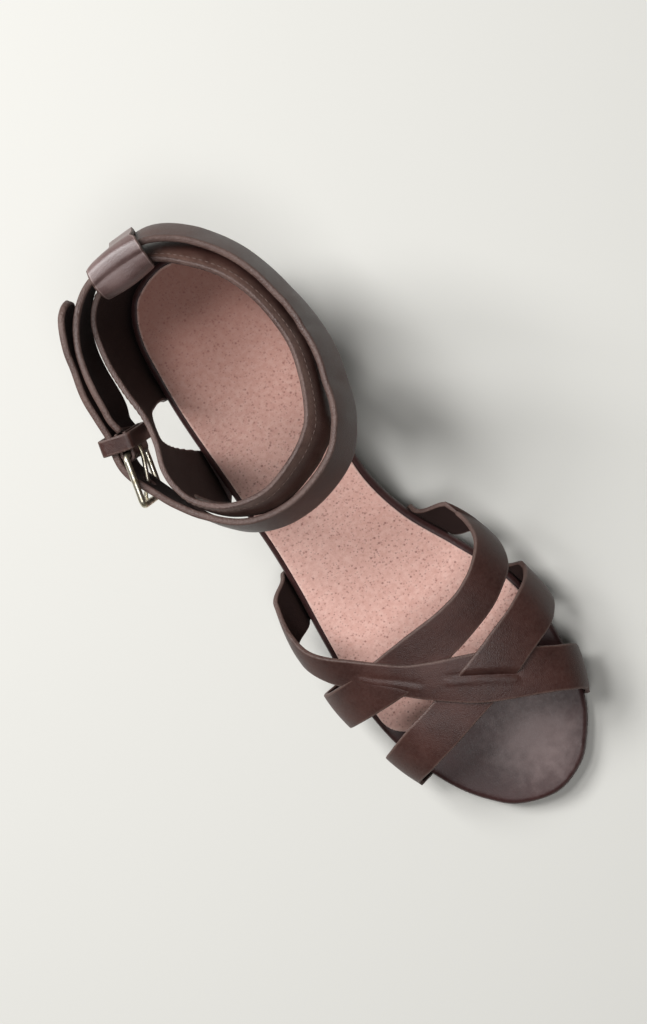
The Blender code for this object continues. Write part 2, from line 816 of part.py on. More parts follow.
def make_quarter(material):
    """Heel counter, side stays and front band in one hollow wall."""
    quarter = ribbon_mesh("quarter", quarter_sections(), QUARTER_THICKNESS, closed=True)
    apply_modifiers(quarter)
    combine(quarter, side_cutter("window", WINDOW), "DIFFERENCE")
    combine(quarter, side_cutter("front_opening", FRONT_OPENING), "DIFFERENCE")
    combine(quarter, make_heel_loop(), "UNION")
    quarter.data.materials.clear()
    quarter.data.materials.append(material)
    return quarter


# Ankle strap and buckle

def ankle_sections(rows, steps=3):
    """Sections of the ankle strap: the middle line with the strap's width across it."""
    smooth = smooth_rows(rows, steps)
    sections = []
    for index, row in enumerate(smooth):
        before = smooth[max(index - 1, 0)]
        after = smooth[min(index + 1, len(smooth) - 1)]
        way = world(after["across"], after["run"], 0) - world(before["across"], before["run"], 0)
        way.normalize()
        outward = Vector((-way.y, way.x, 0.0))
        lean = math.radians(row["lean"])
        up = Vector((0.0, 0.0, math.cos(lean))) + outward * math.sin(lean)
        middle = world(row["across"], row["run"], row["height"])
        reach = row["width"] * 0.5 * MM
        sections.append([middle + up * reach * part for part in (-1.0, 0.0, 1.0)])
    return sections


def make_ankle_strap(material):
    """One strap from the buckle round the ankle and back through it."""
    strap = ribbon_mesh("ankle_strap", ankle_sections(ANKLE_STRAP), ANKLE_STRAP_THICKNESS)
    apply_modifiers(strap)
    combine(strap, make_fold(), "UNION")
    combine(strap, rod("prong_hole", prong_path(), PRONG_WIRE + 0.7, False), "DIFFERENCE")
    strap.data.materials.clear()
    strap.data.materials.append(material)
    return strap


def buckle_point(along, up, outward):
    """Point in the buckle's own frame: toward the toe, up the frame, away from the foot."""
    pitch = math.radians(BUCKLE["pitch"])
    yaw = math.radians(BUCKLE["yaw"])
    toeward = Vector((-math.sin(yaw), -math.cos(yaw), 0.0))
    sideways = Vector((-math.cos(yaw), math.sin(yaw), 0.0))
    tilted = toeward * math.cos(pitch) - Vector((0.0, 0.0, math.sin(pitch)))
    upward = Vector((0.0, 0.0, math.cos(pitch))) + toeward * math.sin(pitch)
    lean = math.radians(BUCKLE["lean"])
    leaned = upward * math.cos(lean) + sideways * math.sin(lean)
    away = sideways * math.cos(lean) - upward * math.sin(lean)
    middle = world(BUCKLE["across"], BUCKLE["run"], BUCKLE["height"])
    return middle + (tilted * along + leaned * up + away * outward) * MM


def rod(name, points, width, closed):
    """Round bar along a path of points."""
    curve = bpy.data.curves.new(name, "CURVE")
    curve.dimensions = "3D"
    curve.bevel_depth = width * 0.5 * MM
    curve.bevel_resolution = 2
    curve.use_fill_caps = True
    spline = curve.splines.new("POLY")
    spline.points.add(len(points) - 1)
    for target, point in zip(spline.points, points):
        target.co = (*point, 1.0)
    spline.use_cyclic_u = closed
    guide = new_object(name, curve, None)
    graph = bpy.context.evaluated_depsgraph_get()
    mesh = bpy.data.meshes.new_from_object(guide.evaluated_get(graph))
    bpy.data.objects.remove(guide)
    shape = bmesh.new()
    shape.from_mesh(mesh)
    bmesh.ops.remove_doubles(shape, verts=shape.verts, dist=0.00001)
    bar = new_object(name, finish_mesh(name, shape), None)
    for face in bar.data.polygons:
        face.use_smooth = True
    return bar


def frame_path():
    """Rounded rectangle along the middle of the frame's wire."""
    reach, tall = BUCKLE_LENGTH * 0.5 - BUCKLE_WIRE * 0.5, BUCKLE_HEIGHT * 0.5 - BUCKLE_WIRE * 0.5
    points = []
    for corner, (side, top) in enumerate(((1, 1), (-1, 1), (-1, -1), (1, -1))):
        for step in range(4):
            angle = math.radians(90.0 * corner + 30.0 * step)
            along = side * (reach - BUCKLE_CORNER) + BUCKLE_CORNER * math.cos(angle)
            up = top * (tall - BUCKLE_CORNER) + BUCKLE_CORNER * math.sin(angle)
            points.append(buckle_point(along, up, 0.0))
    return points


def hinge_along():
    """Where the frame's rear bar lies in the buckle's own frame."""
    return BUCKLE_WIRE * 0.5 - BUCKLE_LENGTH * 0.5


def prong_path():
    """Hook round the rear bar, then through the strap and over the front bar."""
    hinge = hinge_along()
    turn = BUCKLE_WIRE * 0.5 + PRONG_WIRE * 0.5 + 0.3
    points = []
    for degrees in range(60, 271, 30):
        angle = math.radians(degrees)
        points.append(buckle_point(hinge + turn * math.cos(angle), 0.0, turn * math.sin(angle)))
    rest = BUCKLE_WIRE * 0.5 + PRONG_WIRE * 0.5 + 0.3
    straight = table(
        "along outward",
        (hinge + 3.0, -turn),
        (-hinge * 0.35, -0.4),
        (-hinge - 2.5, rest - 0.4),
        (-hinge + 0.4, rest),
        (-hinge + 1.5, rest - 0.1),
    )
    points += [buckle_point(row["along"], 0.0, row["outward"]) for row in straight]
    return points


def make_fold():
    """End of the strap folded round the rear bar, with a slot for the prong."""
    hinge = hinge_along()
    turn = BUCKLE_WIRE * 0.5 + 0.3 + FOLD_THICKNESS * 0.5
    path = [(hinge - 8.2, 1.6), (hinge - 5.6, 1.7), (hinge - 2.8, turn)]
    for degrees in range(90, -91, -30):
        angle = math.radians(degrees)
        path.append((hinge + turn * math.cos(angle), turn * math.sin(angle)))
    path += [(hinge - 2.8, -turn), (hinge - 5.6, -1.7), (hinge - 8.2, -1.6)]
    reach = ANKLE_STRAP_WIDTH * 0.5 - 0.4
    sections = [
        [buckle_point(along, up, outward) for up in (-reach, 0.0, reach)] for along, outward in path
    ]
    fold = ribbon_mesh("fold", sections, FOLD_THICKNESS)
    apply_modifiers(fold)
    slot = box("slot", (hinge - 3.4, hinge + 6.0), (-1.7, 1.7), (-6.0, 6.0))
    combine(fold, slot, "DIFFERENCE")
    return fold


def box(name, along, up, outward):
    """Block in the buckle's own frame."""
    shape = bmesh.new()
    corners = [
        [[shape.verts.new(buckle_point(a, u, o)) for o in outward] for u in up] for a in along
    ]
    for first, second, third, fourth in (
        (corners[0][0][0], corners[0][0][1], corners[0][1][1], corners[0][1][0]),
        (corners[1][0][0], corners[1][1][0], corners[1][1][1], corners[1][0][1]),
        (corners[0][0][0], corners[1][0][0], corners[1][0][1], corners[0][0][1]),
        (corners[0][1][0], corners[0][1][1], corners[1][1][1], corners[1][1][0]),
        (corners[0][0][0], corners[0][1][0], corners[1][1][0], corners[1][0][0]),
        (corners[0][0][1], corners[1][0][1], corners[1][1][1], corners[0][1][1]),
    ):
        shape.faces.new((first, second, third, fourth))
    return new_object(name, finish_mesh(name, shape), None)


def make_keeper(material):
    """Closed leather loop round the folded end and the free tail."""
    low, high = KEEPER_INSIDE - KEEPER_THICKNESS * 0.5, KEEPER_OUTSIDE + KEEPER_THICKNESS * 0.5
    tall = ANKLE_STRAP_WIDTH * 0.5 + 1.1 + KEEPER_THICKNESS * 0.5
    corner = 1.2
    path = []
    for index, (outward, up) in enumerate(
        ((high, tall), (low, tall), (low, -tall), (high, -tall))
    ):
        for step in range(3):
            angle = math.radians(90.0 * index + 45.0 * step)
            inward_out = outward - math.copysign(corner, outward - (low + high) * 0.5)
            inward_up = up - math.copysign(corner, up)
            path.append(
                (inward_out + corner * math.cos(angle), inward_up + corner * math.sin(angle))
            )
    middle = hinge_along() - KEEPER_BACK
    sections = [
        [
            buckle_point(middle + side * KEEPER_WIDTH * 0.5, up, outward)
            for side in (-1.0, 1.0)
        ]
        for outward, up in path
    ]
    keeper = ribbon_mesh("keeper", sections, KEEPER_THICKNESS, closed=True)
    keeper.data.materials.append(material)
    apply_modifiers(keeper)
    return keeper


def make_buckle(material):
    """Rectangular wire frame and its prong."""
    frame = rod("buckle_frame", frame_path(), BUCKLE_WIRE, True)
    frame.data.materials.append(material)
    prong = rod("buckle_prong", prong_path(), PRONG_WIRE, False)
    prong.data.materials.append(material)
    return frame, prong


def leather(name, colour, roughness):
    """Principled material for a leather or rubber part."""
    return surface(name, colour, roughness, 0.0)


def surface(name, colour, roughness, metallic):
    """Principled material."""
    material = bpy.data.materials.new(name)
    material.use_nodes = True
    shader = material.node_tree.nodes["Principled BSDF"]
    shader.inputs["Base Color"].default_value = (*colour, 1.0)
    shader.inputs["Roughness"].default_value = roughness
    shader.inputs["Metallic"].default_value = metallic
    return material


def main():
    """Builds every part of the sandal."""
    strap_leather = leather("strap_leather", (0.066, 0.036, 0.031), 0.45)
    cover_leather = leather("cover_leather", (0.055, 0.026, 0.023), 0.4)
    lining_leather = leather("lining_leather", (0.50, 0.27, 0.22), 0.6)
    sole_rubber = leather("sole_rubber", (0.045, 0.03, 0.025), 0.7)
    make_footbed(cover_leather)
    make_lining(lining_leather)
    make_outsole(sole_rubber)
    make_heel(cover_leather, sole_rubber)
    make_toe_straps(strap_leather)
    make_quarter(strap_leather)
    make_ankle_strap(strap_leather)
    make_keeper(strap_leather)
    make_buckle(surface("buckle_metal", (0.36, 0.33, 0.27), 0.3, 1.0))


for old in list(bpy.data.objects):
    bpy.data.objects.remove(old)
MODEL = bpy.data.collections.new("ankle_strap_sandal")
bpy.context.scene.collection.children.link(MODEL)
main()
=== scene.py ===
import math

import bmesh
import bpy
import numpy as np
from mathutils import Matrix, Vector
from mathutils.geometry import delaunay_2d_cdt
from mathutils.kdtree import KDTree


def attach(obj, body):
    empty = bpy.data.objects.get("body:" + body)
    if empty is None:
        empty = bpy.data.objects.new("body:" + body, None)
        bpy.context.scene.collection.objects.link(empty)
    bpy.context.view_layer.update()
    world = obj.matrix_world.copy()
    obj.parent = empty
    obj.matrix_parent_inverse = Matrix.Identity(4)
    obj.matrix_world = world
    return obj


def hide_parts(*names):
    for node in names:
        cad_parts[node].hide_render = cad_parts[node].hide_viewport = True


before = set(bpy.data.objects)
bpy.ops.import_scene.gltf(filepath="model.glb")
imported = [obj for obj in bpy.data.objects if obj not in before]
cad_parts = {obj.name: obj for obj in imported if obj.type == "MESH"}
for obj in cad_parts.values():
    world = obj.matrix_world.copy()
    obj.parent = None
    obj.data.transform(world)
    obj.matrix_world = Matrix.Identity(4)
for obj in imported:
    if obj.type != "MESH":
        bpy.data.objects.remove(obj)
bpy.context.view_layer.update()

# Ankle strap sandal for the right foot. Sizes are millimetres from the heel end and the floor,
# angles are degrees, colours are the leather's own apart from the painted light and shade noted below. Toe
# towards -Y, inner side of the foot +X.
mm = 0.001
shiftAcross = -1.0
shiftAlong = 117.3


def table(columns, *rows):
    names = columns.split()
    return [dict(zip(names, row)) for row in rows]


outline = table(  # half widths of the footbed
    "along lateral medial",
    (3.5, 12.8, 12.6), (9.5, 19.0, 19.6), (20.0, 23.6, 25.2), (35.0, 25.8, 27.5),
    (50.0, 27.2, 27.2), (70.0, 28.0, 23.7), (90.0, 28.9, 18.9), (110.0, 29.9, 17.0),
    (130.0, 32.0, 20.5), (150.0, 34.8, 29.1), (170.0, 36.9, 37.6), (185.0, 36.8, 40.2),
    (200.0, 35.0, 39.9), (215.0, 30.7, 38.2), (228.0, 24.5, 34.0), (238.0, 17.0, 27.5),
    (245.5, 8.2, 19.5),
)
profile = table(  # side view of its upper face
    "along run height",
    (0, 0.0, 58.5), (20, 19.7, 55.0), (40, 39.3, 51.3), (60, 58.8, 46.7), (80, 77.6, 39.8),
    (100, 95.9, 31.8), (120, 114.1, 23.6), (140, 132.9, 16.7), (160, 152.3, 12.0),
    (180, 172.1, 9.4), (200, 192.1, 8.3), (220, 212.1, 8.0), (240, 232.1, 8.6), (252, 244.0, 9.8),
)
last = table(  # the forefoot that the toe straps were pulled over
    "along lateral medial height",
    (118, 35.6, 23.5, 46.0), (130, 39.4, 28.4, 44.0), (140, 41.8, 36.2, 42.0),
    (150, 43.4, 40.4, 39.5), (160, 43.9, 42.6, 37.5), (172, 43.7, 44.8, 35.5),
    (188, 42.2, 46.4, 33.0), (203, 37.9, 44.8, 30.5), (218, 32.7, 40.6, 27.5),
    (232, 26.0, 33.6, 24.5),
)


def trace(rows, key, column, step=0.25):
    # a smooth curve through one column that never overshoots its rows
    ordered = sorted(rows, key=lambda row: row[key])
    x = np.array([row[key] for row in ordered], float)
    y = np.array([row[column] for row in ordered], float)
    slope = np.diff(y) / np.diff(x)
    tangent = np.zeros(len(x))
    left, right = slope[:-1], slope[1:]
    same = left * right > 0
    tangent[1:-1][same] = 2 * left[same] * right[same] / (left[same] + right[same])
    tangent[0], tangent[-1] = slope[0], slope[-1]
    fine = np.linspace(x[0], x[-1], int((x[-1] - x[0]) / step) + 2)
    at = np.clip(np.searchsorted(x, fine) - 1, 0, len(x) - 2)
    span = x[at + 1] - x[at]
    t = (fine - x[at]) / span
    value = (
        (2 * t ** 3 - 3 * t ** 2 + 1) * y[at] + (t ** 3 - 2 * t ** 2 + t) * span * tangent[at]
        + (3 * t ** 2 - 2 * t ** 3) * y[at + 1] + (t ** 3 - t ** 2) * span * tangent[at + 1]
    )
    return lambda place: np.interp(place, fine, value)


def through(rows, steps, closed=False):
    # evenly blended rows on a smooth curve through the given ones, as arrays by name
    count = len(rows)
    result = {}
    for name in rows[0]:
        y = np.array([row[name] for row in rows], float)
        spans = count if closed else count - 1
        at = np.repeat(np.arange(spans), steps)
        t = np.tile(np.arange(steps) / steps, spans)
        if not closed:
            at, t = np.append(at, count - 2), np.append(t, 1.0)
            near = [np.clip(at + k, 0, count - 1) for k in (-1, 0, 1, 2)]
        else:
            near = [(at + k) % count for k in (-1, 0, 1, 2)]
        a, b, c, d = (y[n] for n in near)
        result[name] = 0.5 * (
            2 * b + (c - a) * t + (2 * a - 5 * b + 4 * c - d) * t ** 2
            + (3 * b - a - 3 * c + d) * t ** 3
        )
    return result


runAt = trace(profile, "along", "run")
heightAt = trace(profile, "along", "height")
outerAt = trace(outline, "along", "lateral")
innerAt = trace(outline, "along", "medial")
lastOuter = trace(last, "along", "lateral")
lastInner = trace(last, "along", "medial")
lastHeight = trace(last, "along", "height")


def smoothStep(t):
    t = np.clip(t, 0.0, 1.0)
    return t * t * (3 - 2 * t)


def place(across, run, height):
    across, run, height = np.broadcast_arrays(across, run, height)
    return np.stack([across + shiftAcross, shiftAlong - run, height], axis=-1) * mm


def bed(across, along, rise):
    # a point over the footbed, square to its face, with the heel seat's slight cup
    pitch = np.arctan2(heightAt(along - 1.5) - heightAt(along + 1.5), 3.0)
    total = rise + 1.2 * np.clip((115.0 - along) / 50.0, 0.0, 1.0) * (across / 27.0) ** 2
    return place(across, runAt(along) + total * np.sin(pitch), heightAt(along) + total * np.cos(pitch))


def halfWidth(side, along):
    return np.where(side > 0, innerAt(along), outerAt(along))


def beside(side, along, outside, rise):
    # a point beside the footbed's edge, square to the edge
    turn = np.arctan2(halfWidth(side, along + 1.0) - halfWidth(side, along - 1.0), 2.0)
    across = side * (halfWidth(side, along) + outside * np.cos(turn))
    return bed(across, along - outside * np.sin(turn), rise)


def shown(name, data):
    # a new object in the scene
    thing = bpy.data.objects.new(name, data)
    bpy.context.scene.collection.objects.link(thing)
    return thing


def addPiece(name, verts, faces):
    mesh = bpy.data.meshes.new(name)
    mesh.from_pydata([tuple(v) for v in verts], [], [tuple(int(i) for i in f) for f in faces])
    mesh.update()
    piece = shown(name, mesh)
    return piece


def outwards(piece, weld=0.0):
    shape = bmesh.new()
    shape.from_mesh(piece.data)
    if weld:
        bmesh.ops.remove_doubles(shape, verts=shape.verts, dist=weld)
    bmesh.ops.recalc_face_normals(shape, faces=shape.faces)
    shape.to_mesh(piece.data)
    shape.free()


def smooth(piece, angle=None):
    piece.data.shade_smooth()
    if angle is not None:
        piece.data.set_sharp_from_angle(angle=math.radians(angle))


def baked(piece):
    # the modifiers' result as a plain mesh
    graph = bpy.context.evaluated_depsgraph_get()
    made = bpy.data.meshes.new_from_object(piece.evaluated_get(graph))
    piece.modifiers.clear()
    piece.data = made
    return piece


def finish(piece, slotName, *nodes):
    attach(piece, "root")
    if nodes:
        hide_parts(*nodes)
    return piece


def floatAttribute(mesh, name, values):
    layer = mesh.attributes.get(name) or mesh.attributes.new(name, "FLOAT", "POINT")
    layer.data.foreach_set("value", np.asarray(values, np.float32))


def gridFaces(rows, columns, closed=False):
    faces = []
    for i in range(rows if closed else rows - 1):
        j = (i + 1) % rows
        for k in range(columns - 1):
            faces.append((i * columns + k, i * columns + k + 1, j * columns + k + 1, j * columns + k))
    return faces


def nearTree(points):
    tree = KDTree(len(points))
    for index, point in enumerate(points):
        tree.insert(point, index)
    tree.balance()
    return tree


def leatherSheet(name, points, flat, faces, thickness, rounding, squareness=0.6):
    # An open surface made into leather: dressed face, backing and a rounded edge between them.
    # Flat holds each point's place in the pattern, and becomes the piece's UV.
    shape = bmesh.new()
    for point in points:
        shape.verts.new(point)
    shape.verts.ensure_lookup_table()
    shape.verts.index_update()
    for face in faces:
        shape.faces.new([shape.verts[int(i)] for i in face])
    shape.normal_update()
    middle = np.mean([v.co for v in shape.verts], axis=0)
    if sum(v.normal.dot(v.co - Vector(middle)) for v in shape.verts) < 0:
        bmesh.ops.reverse_faces(shape, faces=shape.faces)
        shape.normal_update()
    pts = np.array([v.co for v in shape.verts])
    nrm = np.array([v.normal for v in shape.verts])
    ordered = [[v.index for v in face.verts] for face in shape.faces]
    edges = []  # border edges, running the way their face runs
    inward = np.zeros_like(pts)
    for face in shape.faces:
        for loop in face.loops:
            if len(loop.edge.link_faces) == 1:
                a, b = loop.vert.index, loop.link_loop_next.vert.index
                edges.append((a, b))
                along = pts[b] - pts[a]
                way = np.cross(nrm[a] + nrm[b], along)
                way /= max(np.linalg.norm(way), 1e-12)
                inward[a] += way
                inward[b] += way
    shape.free()
    border = np.array(sorted({i for edge in edges for i in edge}), int)
    size = np.linalg.norm(inward[border], axis=1, keepdims=True)
    inward[border] /= np.maximum(size, 1e-9)
    half = thickness * 0.5 * mm
    base = pts.copy()
    base[border] += inward[border] * rounding * mm
    count = len(pts)
    verts = [base + nrm * half, base - nrm * half]
    slots = {}
    steps = 5
    for k in range(1, steps):
        angle = math.pi * (0.5 - k / steps)
        out = math.copysign(abs(math.cos(angle)) ** squareness, 1.0) * rounding * mm
        up = math.copysign(abs(math.sin(angle)) ** squareness, math.sin(angle)) * half
        verts.append(base[border] - inward[border] * out + nrm[border] * up)
    ring = {int(i): order for order, i in enumerate(border)}
    made, kind = [], []
    for face in ordered:
        made.append(face)
        made.append([i + count for i in face[::-1]])
        kind += [0, 2]

    def edgePoint(i, step):
        if step == 0:
            return i
        if step == steps:
            return i + count
        return 2 * count + (step - 1) * len(border) + ring[i]

    for a, b in edges:
        for k in range(steps):
            made.append([edgePoint(b, k), edgePoint(a, k), edgePoint(a, k + 1), edgePoint(b, k + 1)])
            kind.append(1)
    piece = addPiece(name, np.concatenate(verts), made)
    piece.data.polygons.foreach_set("material_index", kind)
    flat = np.asarray(flat, float)
    whole = np.concatenate([flat, flat] + [flat[border]] * (steps - 1))
    layer = piece.data.uv_layers.new(name="pattern")
    corner = np.zeros(len(piece.data.loops), int)
    piece.data.loops.foreach_get("vertex_index", corner)
    layer.data.foreach_set("uv", whole[corner].reshape(-1))
    near = nearTree([pts[a] * (1 - t) + pts[b] * t for a, b in edges for t in (0.0, 0.33, 0.67)])
    inner = np.array([near.find(Vector(p))[2] for p in pts])
    inner[border] = rounding * 0.6 * mm
    floatAttribute(
        piece.data, "fromEdge", np.concatenate([inner, inner] + [np.zeros(len(border))] * (steps - 1))
    )
    smooth(piece)
    for material in (strapLeather, edgePaint, shadedBacking):
        piece.data.materials.append(material)
    return piece


def cutPattern(border, holes, spacing, clear):
    # Points and triangles that fill a flat pattern, its holes left out
    loops = [np.asarray(border, float)] + [np.asarray(hole, float) for hole in holes]
    points = [tuple(p) for loop in loops for p in loop]
    lines, start = [], 0
    for loop in loops:
        size = len(loop)
        lines += [(start + i, start + (i + 1) % size) for i in range(size)]
        start += size
    edge = np.array(points)
    low, high = edge.min(0), edge.max(0)
    xs = np.arange(low[0] + spacing * 0.5, high[0], spacing)
    ys = np.arange(low[1] + spacing * 0.5, high[1], spacing * 0.87)
    gx, gy = np.meshgrid(xs, ys)
    gx = gx + (np.arange(len(ys)) % 2)[:, None] * spacing * 0.5
    grid = np.stack([gx.ravel(), gy.ravel()], axis=1)
    keep = within(grid, loops)
    near = nearTree([(x, y, 0.0) for x, y in edge])
    grid = grid[keep]
    far = np.array([near.find((p[0], p[1], 0.0))[2] > clear for p in grid])
    grid = grid[far]
    everything = [Vector(p) for p in points] + [Vector(p) for p in grid]
    verts, _, tris, _, _, _ = delaunay_2d_cdt(everything, lines, [], 0, 1e-5)
    verts = np.array([tuple(v) for v in verts])
    tris = np.array([t for t in tris if len(t) == 3], int)
    keep = within(verts[tris].mean(axis=1), loops)
    return verts, tris[keep]


def within(points, loops):
    # inside the first loop and outside the others
    inside = np.zeros(len(points), bool)
    x, y = points[:, 0], points[:, 1]
    for loop in loops:
        a, b = loop, np.roll(loop, -1, axis=0)
        for (x0, y0), (x1, y1) in zip(a, b):
            if y0 == y1:
                continue
            crosses = ((y0 > y) != (y1 > y)) & (x < (x1 - x0) * (y - y0) / (y1 - y0) + x0)
            inside ^= crosses
    return inside


def lengths(line):
    # length along a line of points, up to each of them
    return np.concatenate([[0.0], np.cumsum(np.linalg.norm(np.diff(line, axis=0), axis=1))])


def evenly(path, spacing, closed=True):
    # the same line with its points evenly spaced
    path = np.asarray(path, float)
    if closed:
        path = np.vstack([path, path[:1]])
    length = lengths(path)
    count = max(4, int(round(length[-1] / spacing)))
    at = np.linspace(0.0, length[-1], count + 1)
    if closed:
        at = at[:-1]
    return np.stack([np.interp(at, length, path[:, k]) for k in range(path.shape[1])], axis=1)


def linked(tree, kind, inputs=None, **settings):
    # adds a shader node, with its settings and its inputs; an input is a value or a socket
    node = tree.nodes.new(kind)
    for key, value in settings.items():
        setattr(node, key, value)
    for key, value in (inputs or {}).items():
        socket = node.inputs[key]
        if isinstance(value, bpy.types.NodeSocket):
            tree.links.new(value, socket)
        else:
            socket.default_value = value
    return node


def rgb(red, green, blue):
    # a colour given as 0 to 255 in everyday sRGB
    def straight(c):
        c /= 255.0
        return c / 12.92 if c <= 0.04045 else ((c + 0.055) / 1.055) ** 2.4
    return (straight(red), straight(green), straight(blue), 1.0)


def blend(tree, factor, first, second, mode="MIX"):
    node = tree.nodes.new("ShaderNodeMix")
    node.data_type = "RGBA"
    node.blend_type = mode
    for key, value in ((0, factor), (6, first), (7, second)):
        if isinstance(value, bpy.types.NodeSocket):
            tree.links.new(value, node.inputs[key])
        else:
            node.inputs[key].default_value = value
    return node.outputs[2]


def span(tree, value, low, high, first=0.0, second=1.0, smoothly=False):
    node = linked(tree, "ShaderNodeMapRange", {"Value": value, "From Min": low, "From Max": high,
                                               "To Min": first, "To Max": second})
    if smoothly:
        node.interpolation_type = "SMOOTHSTEP"
    return node.outputs[0]


def sums(tree, operation, first, second=0.0):
    node = tree.nodes.new("ShaderNodeMath")
    node.operation = operation
    for key, value in ((0, first), (1, second)):
        if isinstance(value, bpy.types.NodeSocket):
            tree.links.new(value, node.inputs[key])
        else:
            node.inputs[key].default_value = value
    return node.outputs[0]


def noise(tree, where, scale, detail, roughness=0.5):
    settings = {"Vector": where, "Scale": scale, "Detail": detail, "Roughness": roughness}
    return linked(tree, "ShaderNodeTexNoise", settings).outputs[0]


def raised(tree, shader, height, strength, depth):
    bump = linked(tree, "ShaderNodeBump", {"Height": height, "Strength": strength, "Distance": depth})
    tree.links.new(bump.outputs[0], shader.inputs["Normal"])


def freshMaterial(name):
    material = bpy.data.materials.new(name)
    material.use_nodes = True
    tree = material.node_tree
    shader = tree.nodes["Principled BSDF"]
    return material, tree, shader


def leatherMaterial(name, look):
    # Smooth dressed leather: fine pebbled grain, soft clouding, paler edges (rubbed wear, widened in some
    # looks into painted light), and where asked a painted sheen spot
    material, tree, shader = freshMaterial(name)
    where = linked(tree, "ShaderNodeTexCoord").outputs["Object"]
    cloud = noise(tree, where, 55.0, 4.0, 0.6)
    fine = noise(tree, where, 900.0, 3.0, 0.6)
    grain = linked(tree, "ShaderNodeTexVoronoi", {"Vector": where, "Scale": look["grain"]},
                   feature="DISTANCE_TO_EDGE")
    edge = linked(tree, "ShaderNodeAttribute", attribute_name="fromEdge").outputs["Fac"]
    wear = noise(tree, where, 260.0, 3.0)
    colour = blend(tree, span(tree, cloud, 0.35, 0.65), look["dark"], look["light"])
    colour = blend(tree, span(tree, fine, 0.35, 0.7, 0.0, look["speckle"]), colour, look["worn and lit"])
    # paler near the edges: rubbed wear, and painted light where a look widens the band
    edgeWearAndLight = sums(tree, "MULTIPLY", span(tree, edge, 0.0002, look["edge width"], 1.0, 0.0, True),
                  span(tree, wear, 0.3, 0.65, 0.45, 1.0))
    colour = blend(tree, sums(tree, "MULTIPLY", edgeWearAndLight, look["edge wear and light"]), colour, look["worn and lit"])
    if "painted sheen" in look:  # a painted sheen: paler round one spot where the top light's reflection falls
        far = linked(
            tree, "ShaderNodeVectorMath", {0: where, 1: look["painted sheen"]}, operation="DISTANCE"
        ).outputs["Value"]
        far = sums(tree, "ADD", far, span(tree, wear, 0.3, 0.7, -0.003, 0.003))
        paintedSheen = span(tree, far, look["painted sheen reach"], 0.004, 0.0, 0.85, True)
        colour = blend(tree, paintedSheen, colour, look["painted sheen colour"])
    tree.links.new(colour, shader.inputs["Base Color"])
    rough = sums(tree, "ADD", span(tree, cloud, 0.3, 0.7, -0.05, 0.06),
                 span(tree, fine, 0.3, 0.7, look["roughness"] - 0.04, look["roughness"] + 0.05))
    tree.links.new(rough, shader.inputs["Roughness"])
    pebble = span(tree, grain.outputs[0], 0.0, 0.25, 0.0, 1.0)
    relief = sums(tree, "ADD", sums(tree, "MULTIPLY", pebble, 0.55),
                  sums(tree, "MULTIPLY", fine, 0.6))
    raised(tree, shader, relief, look["relief"], 0.00025)
    shader.inputs["Specular IOR Level"].default_value = look["shine"]
    shader.inputs["Coat Weight"].default_value = look["coat"]
    shader.inputs["Coat Roughness"].default_value = 0.36
    shader.inputs["Sheen Weight"].default_value = look["sheen"]
    shader.inputs["Sheen Roughness"].default_value = 0.45
    shader.inputs["Sheen Tint"].default_value = look["sheen colour"]
    return material


strapLook = {
    "dark": rgb(47, 22, 17), "light": rgb(65, 35, 29), "worn and lit": rgb(114, 89, 80),
    "speckle": 0.1, "grain": 1500.0, "relief": 0.3, "roughness": 0.45, "shine": 0.48,
    "edge width": 0.0011, "edge wear and light": 0.5, "sheen": 0.02, "coat": 0.0, "sheen colour": rgb(200, 185, 178),
}
strapLeather = leatherMaterial("strapLeather", strapLook)
edgePaint = leatherMaterial("edgePaint", strapLook | {
    "dark": rgb(66, 46, 41), "light": rgb(90, 69, 63), "worn and lit": rgb(128, 108, 100),
    "speckle": 0.25, "edge wear and light": 0.0, "roughness": 0.55, "relief": 0.6, "grain": 900.0,
})
# The backing is painted near-black: the shade inside the wall and under the straps painted into the flesh
# side's colour.
shadedBacking = leatherMaterial("strapBackingPaintedShade", strapLook | {
    "dark": rgb(26, 15, 14), "light": rgb(37, 23, 21), "worn and lit": rgb(62, 44, 40),
    "roughness": 0.7, "shine": 0.2, "edge wear and light": 0.2, "relief": 0.5,
})
coverLeather = leatherMaterial("coverLeather", strapLook | {
    "dark": rgb(46, 24, 23), "light": rgb(60, 35, 34), "worn and lit": rgb(98, 76, 74),
    "relief": 0.1, "roughness": 0.4, "shine": 0.3, "coat": 0.0, "edge wear and light": 0.2,
    # the pale spot near the toe is a painted sheen of the top light
    "painted sheen": (0.010, -0.101, 0.012), "painted sheen reach": 0.025, "painted sheen colour": rgb(124, 106, 104),
})
print("leathers ready")


def rubberMaterial(name, dark, light):
    material, tree, shader = freshMaterial(name)
    where = linked(tree, "ShaderNodeTexCoord").outputs["Object"]
    cloud = noise(tree, where, 90.0, 5.0)
    speck = noise(tree, where, 1400.0, 2.0)
    tread = linked(tree, "ShaderNodeTexWave", {"Vector": where, "Scale": 120.0, "Distortion": 0.0},
                   bands_direction="Y", wave_profile="SIN")
    colour = blend(tree, span(tree, cloud, 0.35, 0.65), dark, light)
    tree.links.new(colour, shader.inputs["Base Color"])
    rough = span(tree, cloud, 0.3, 0.7, 0.62, 0.8)
    tree.links.new(rough, shader.inputs["Roughness"])
    facing = linked(tree, "ShaderNodeNewGeometry").outputs["Normal"]
    down = linked(tree, "ShaderNodeSeparateXYZ", {"Vector": facing}).outputs["Z"]
    ribs = sums(tree, "MULTIPLY", tread.outputs["Fac"], span(tree, down, -0.6, -0.95, 0.0, 1.0))
    relief = sums(tree, "ADD", sums(tree, "MULTIPLY", speck, 0.5), ribs)
    raised(tree, shader, relief, 0.5, 0.0003)
    return material


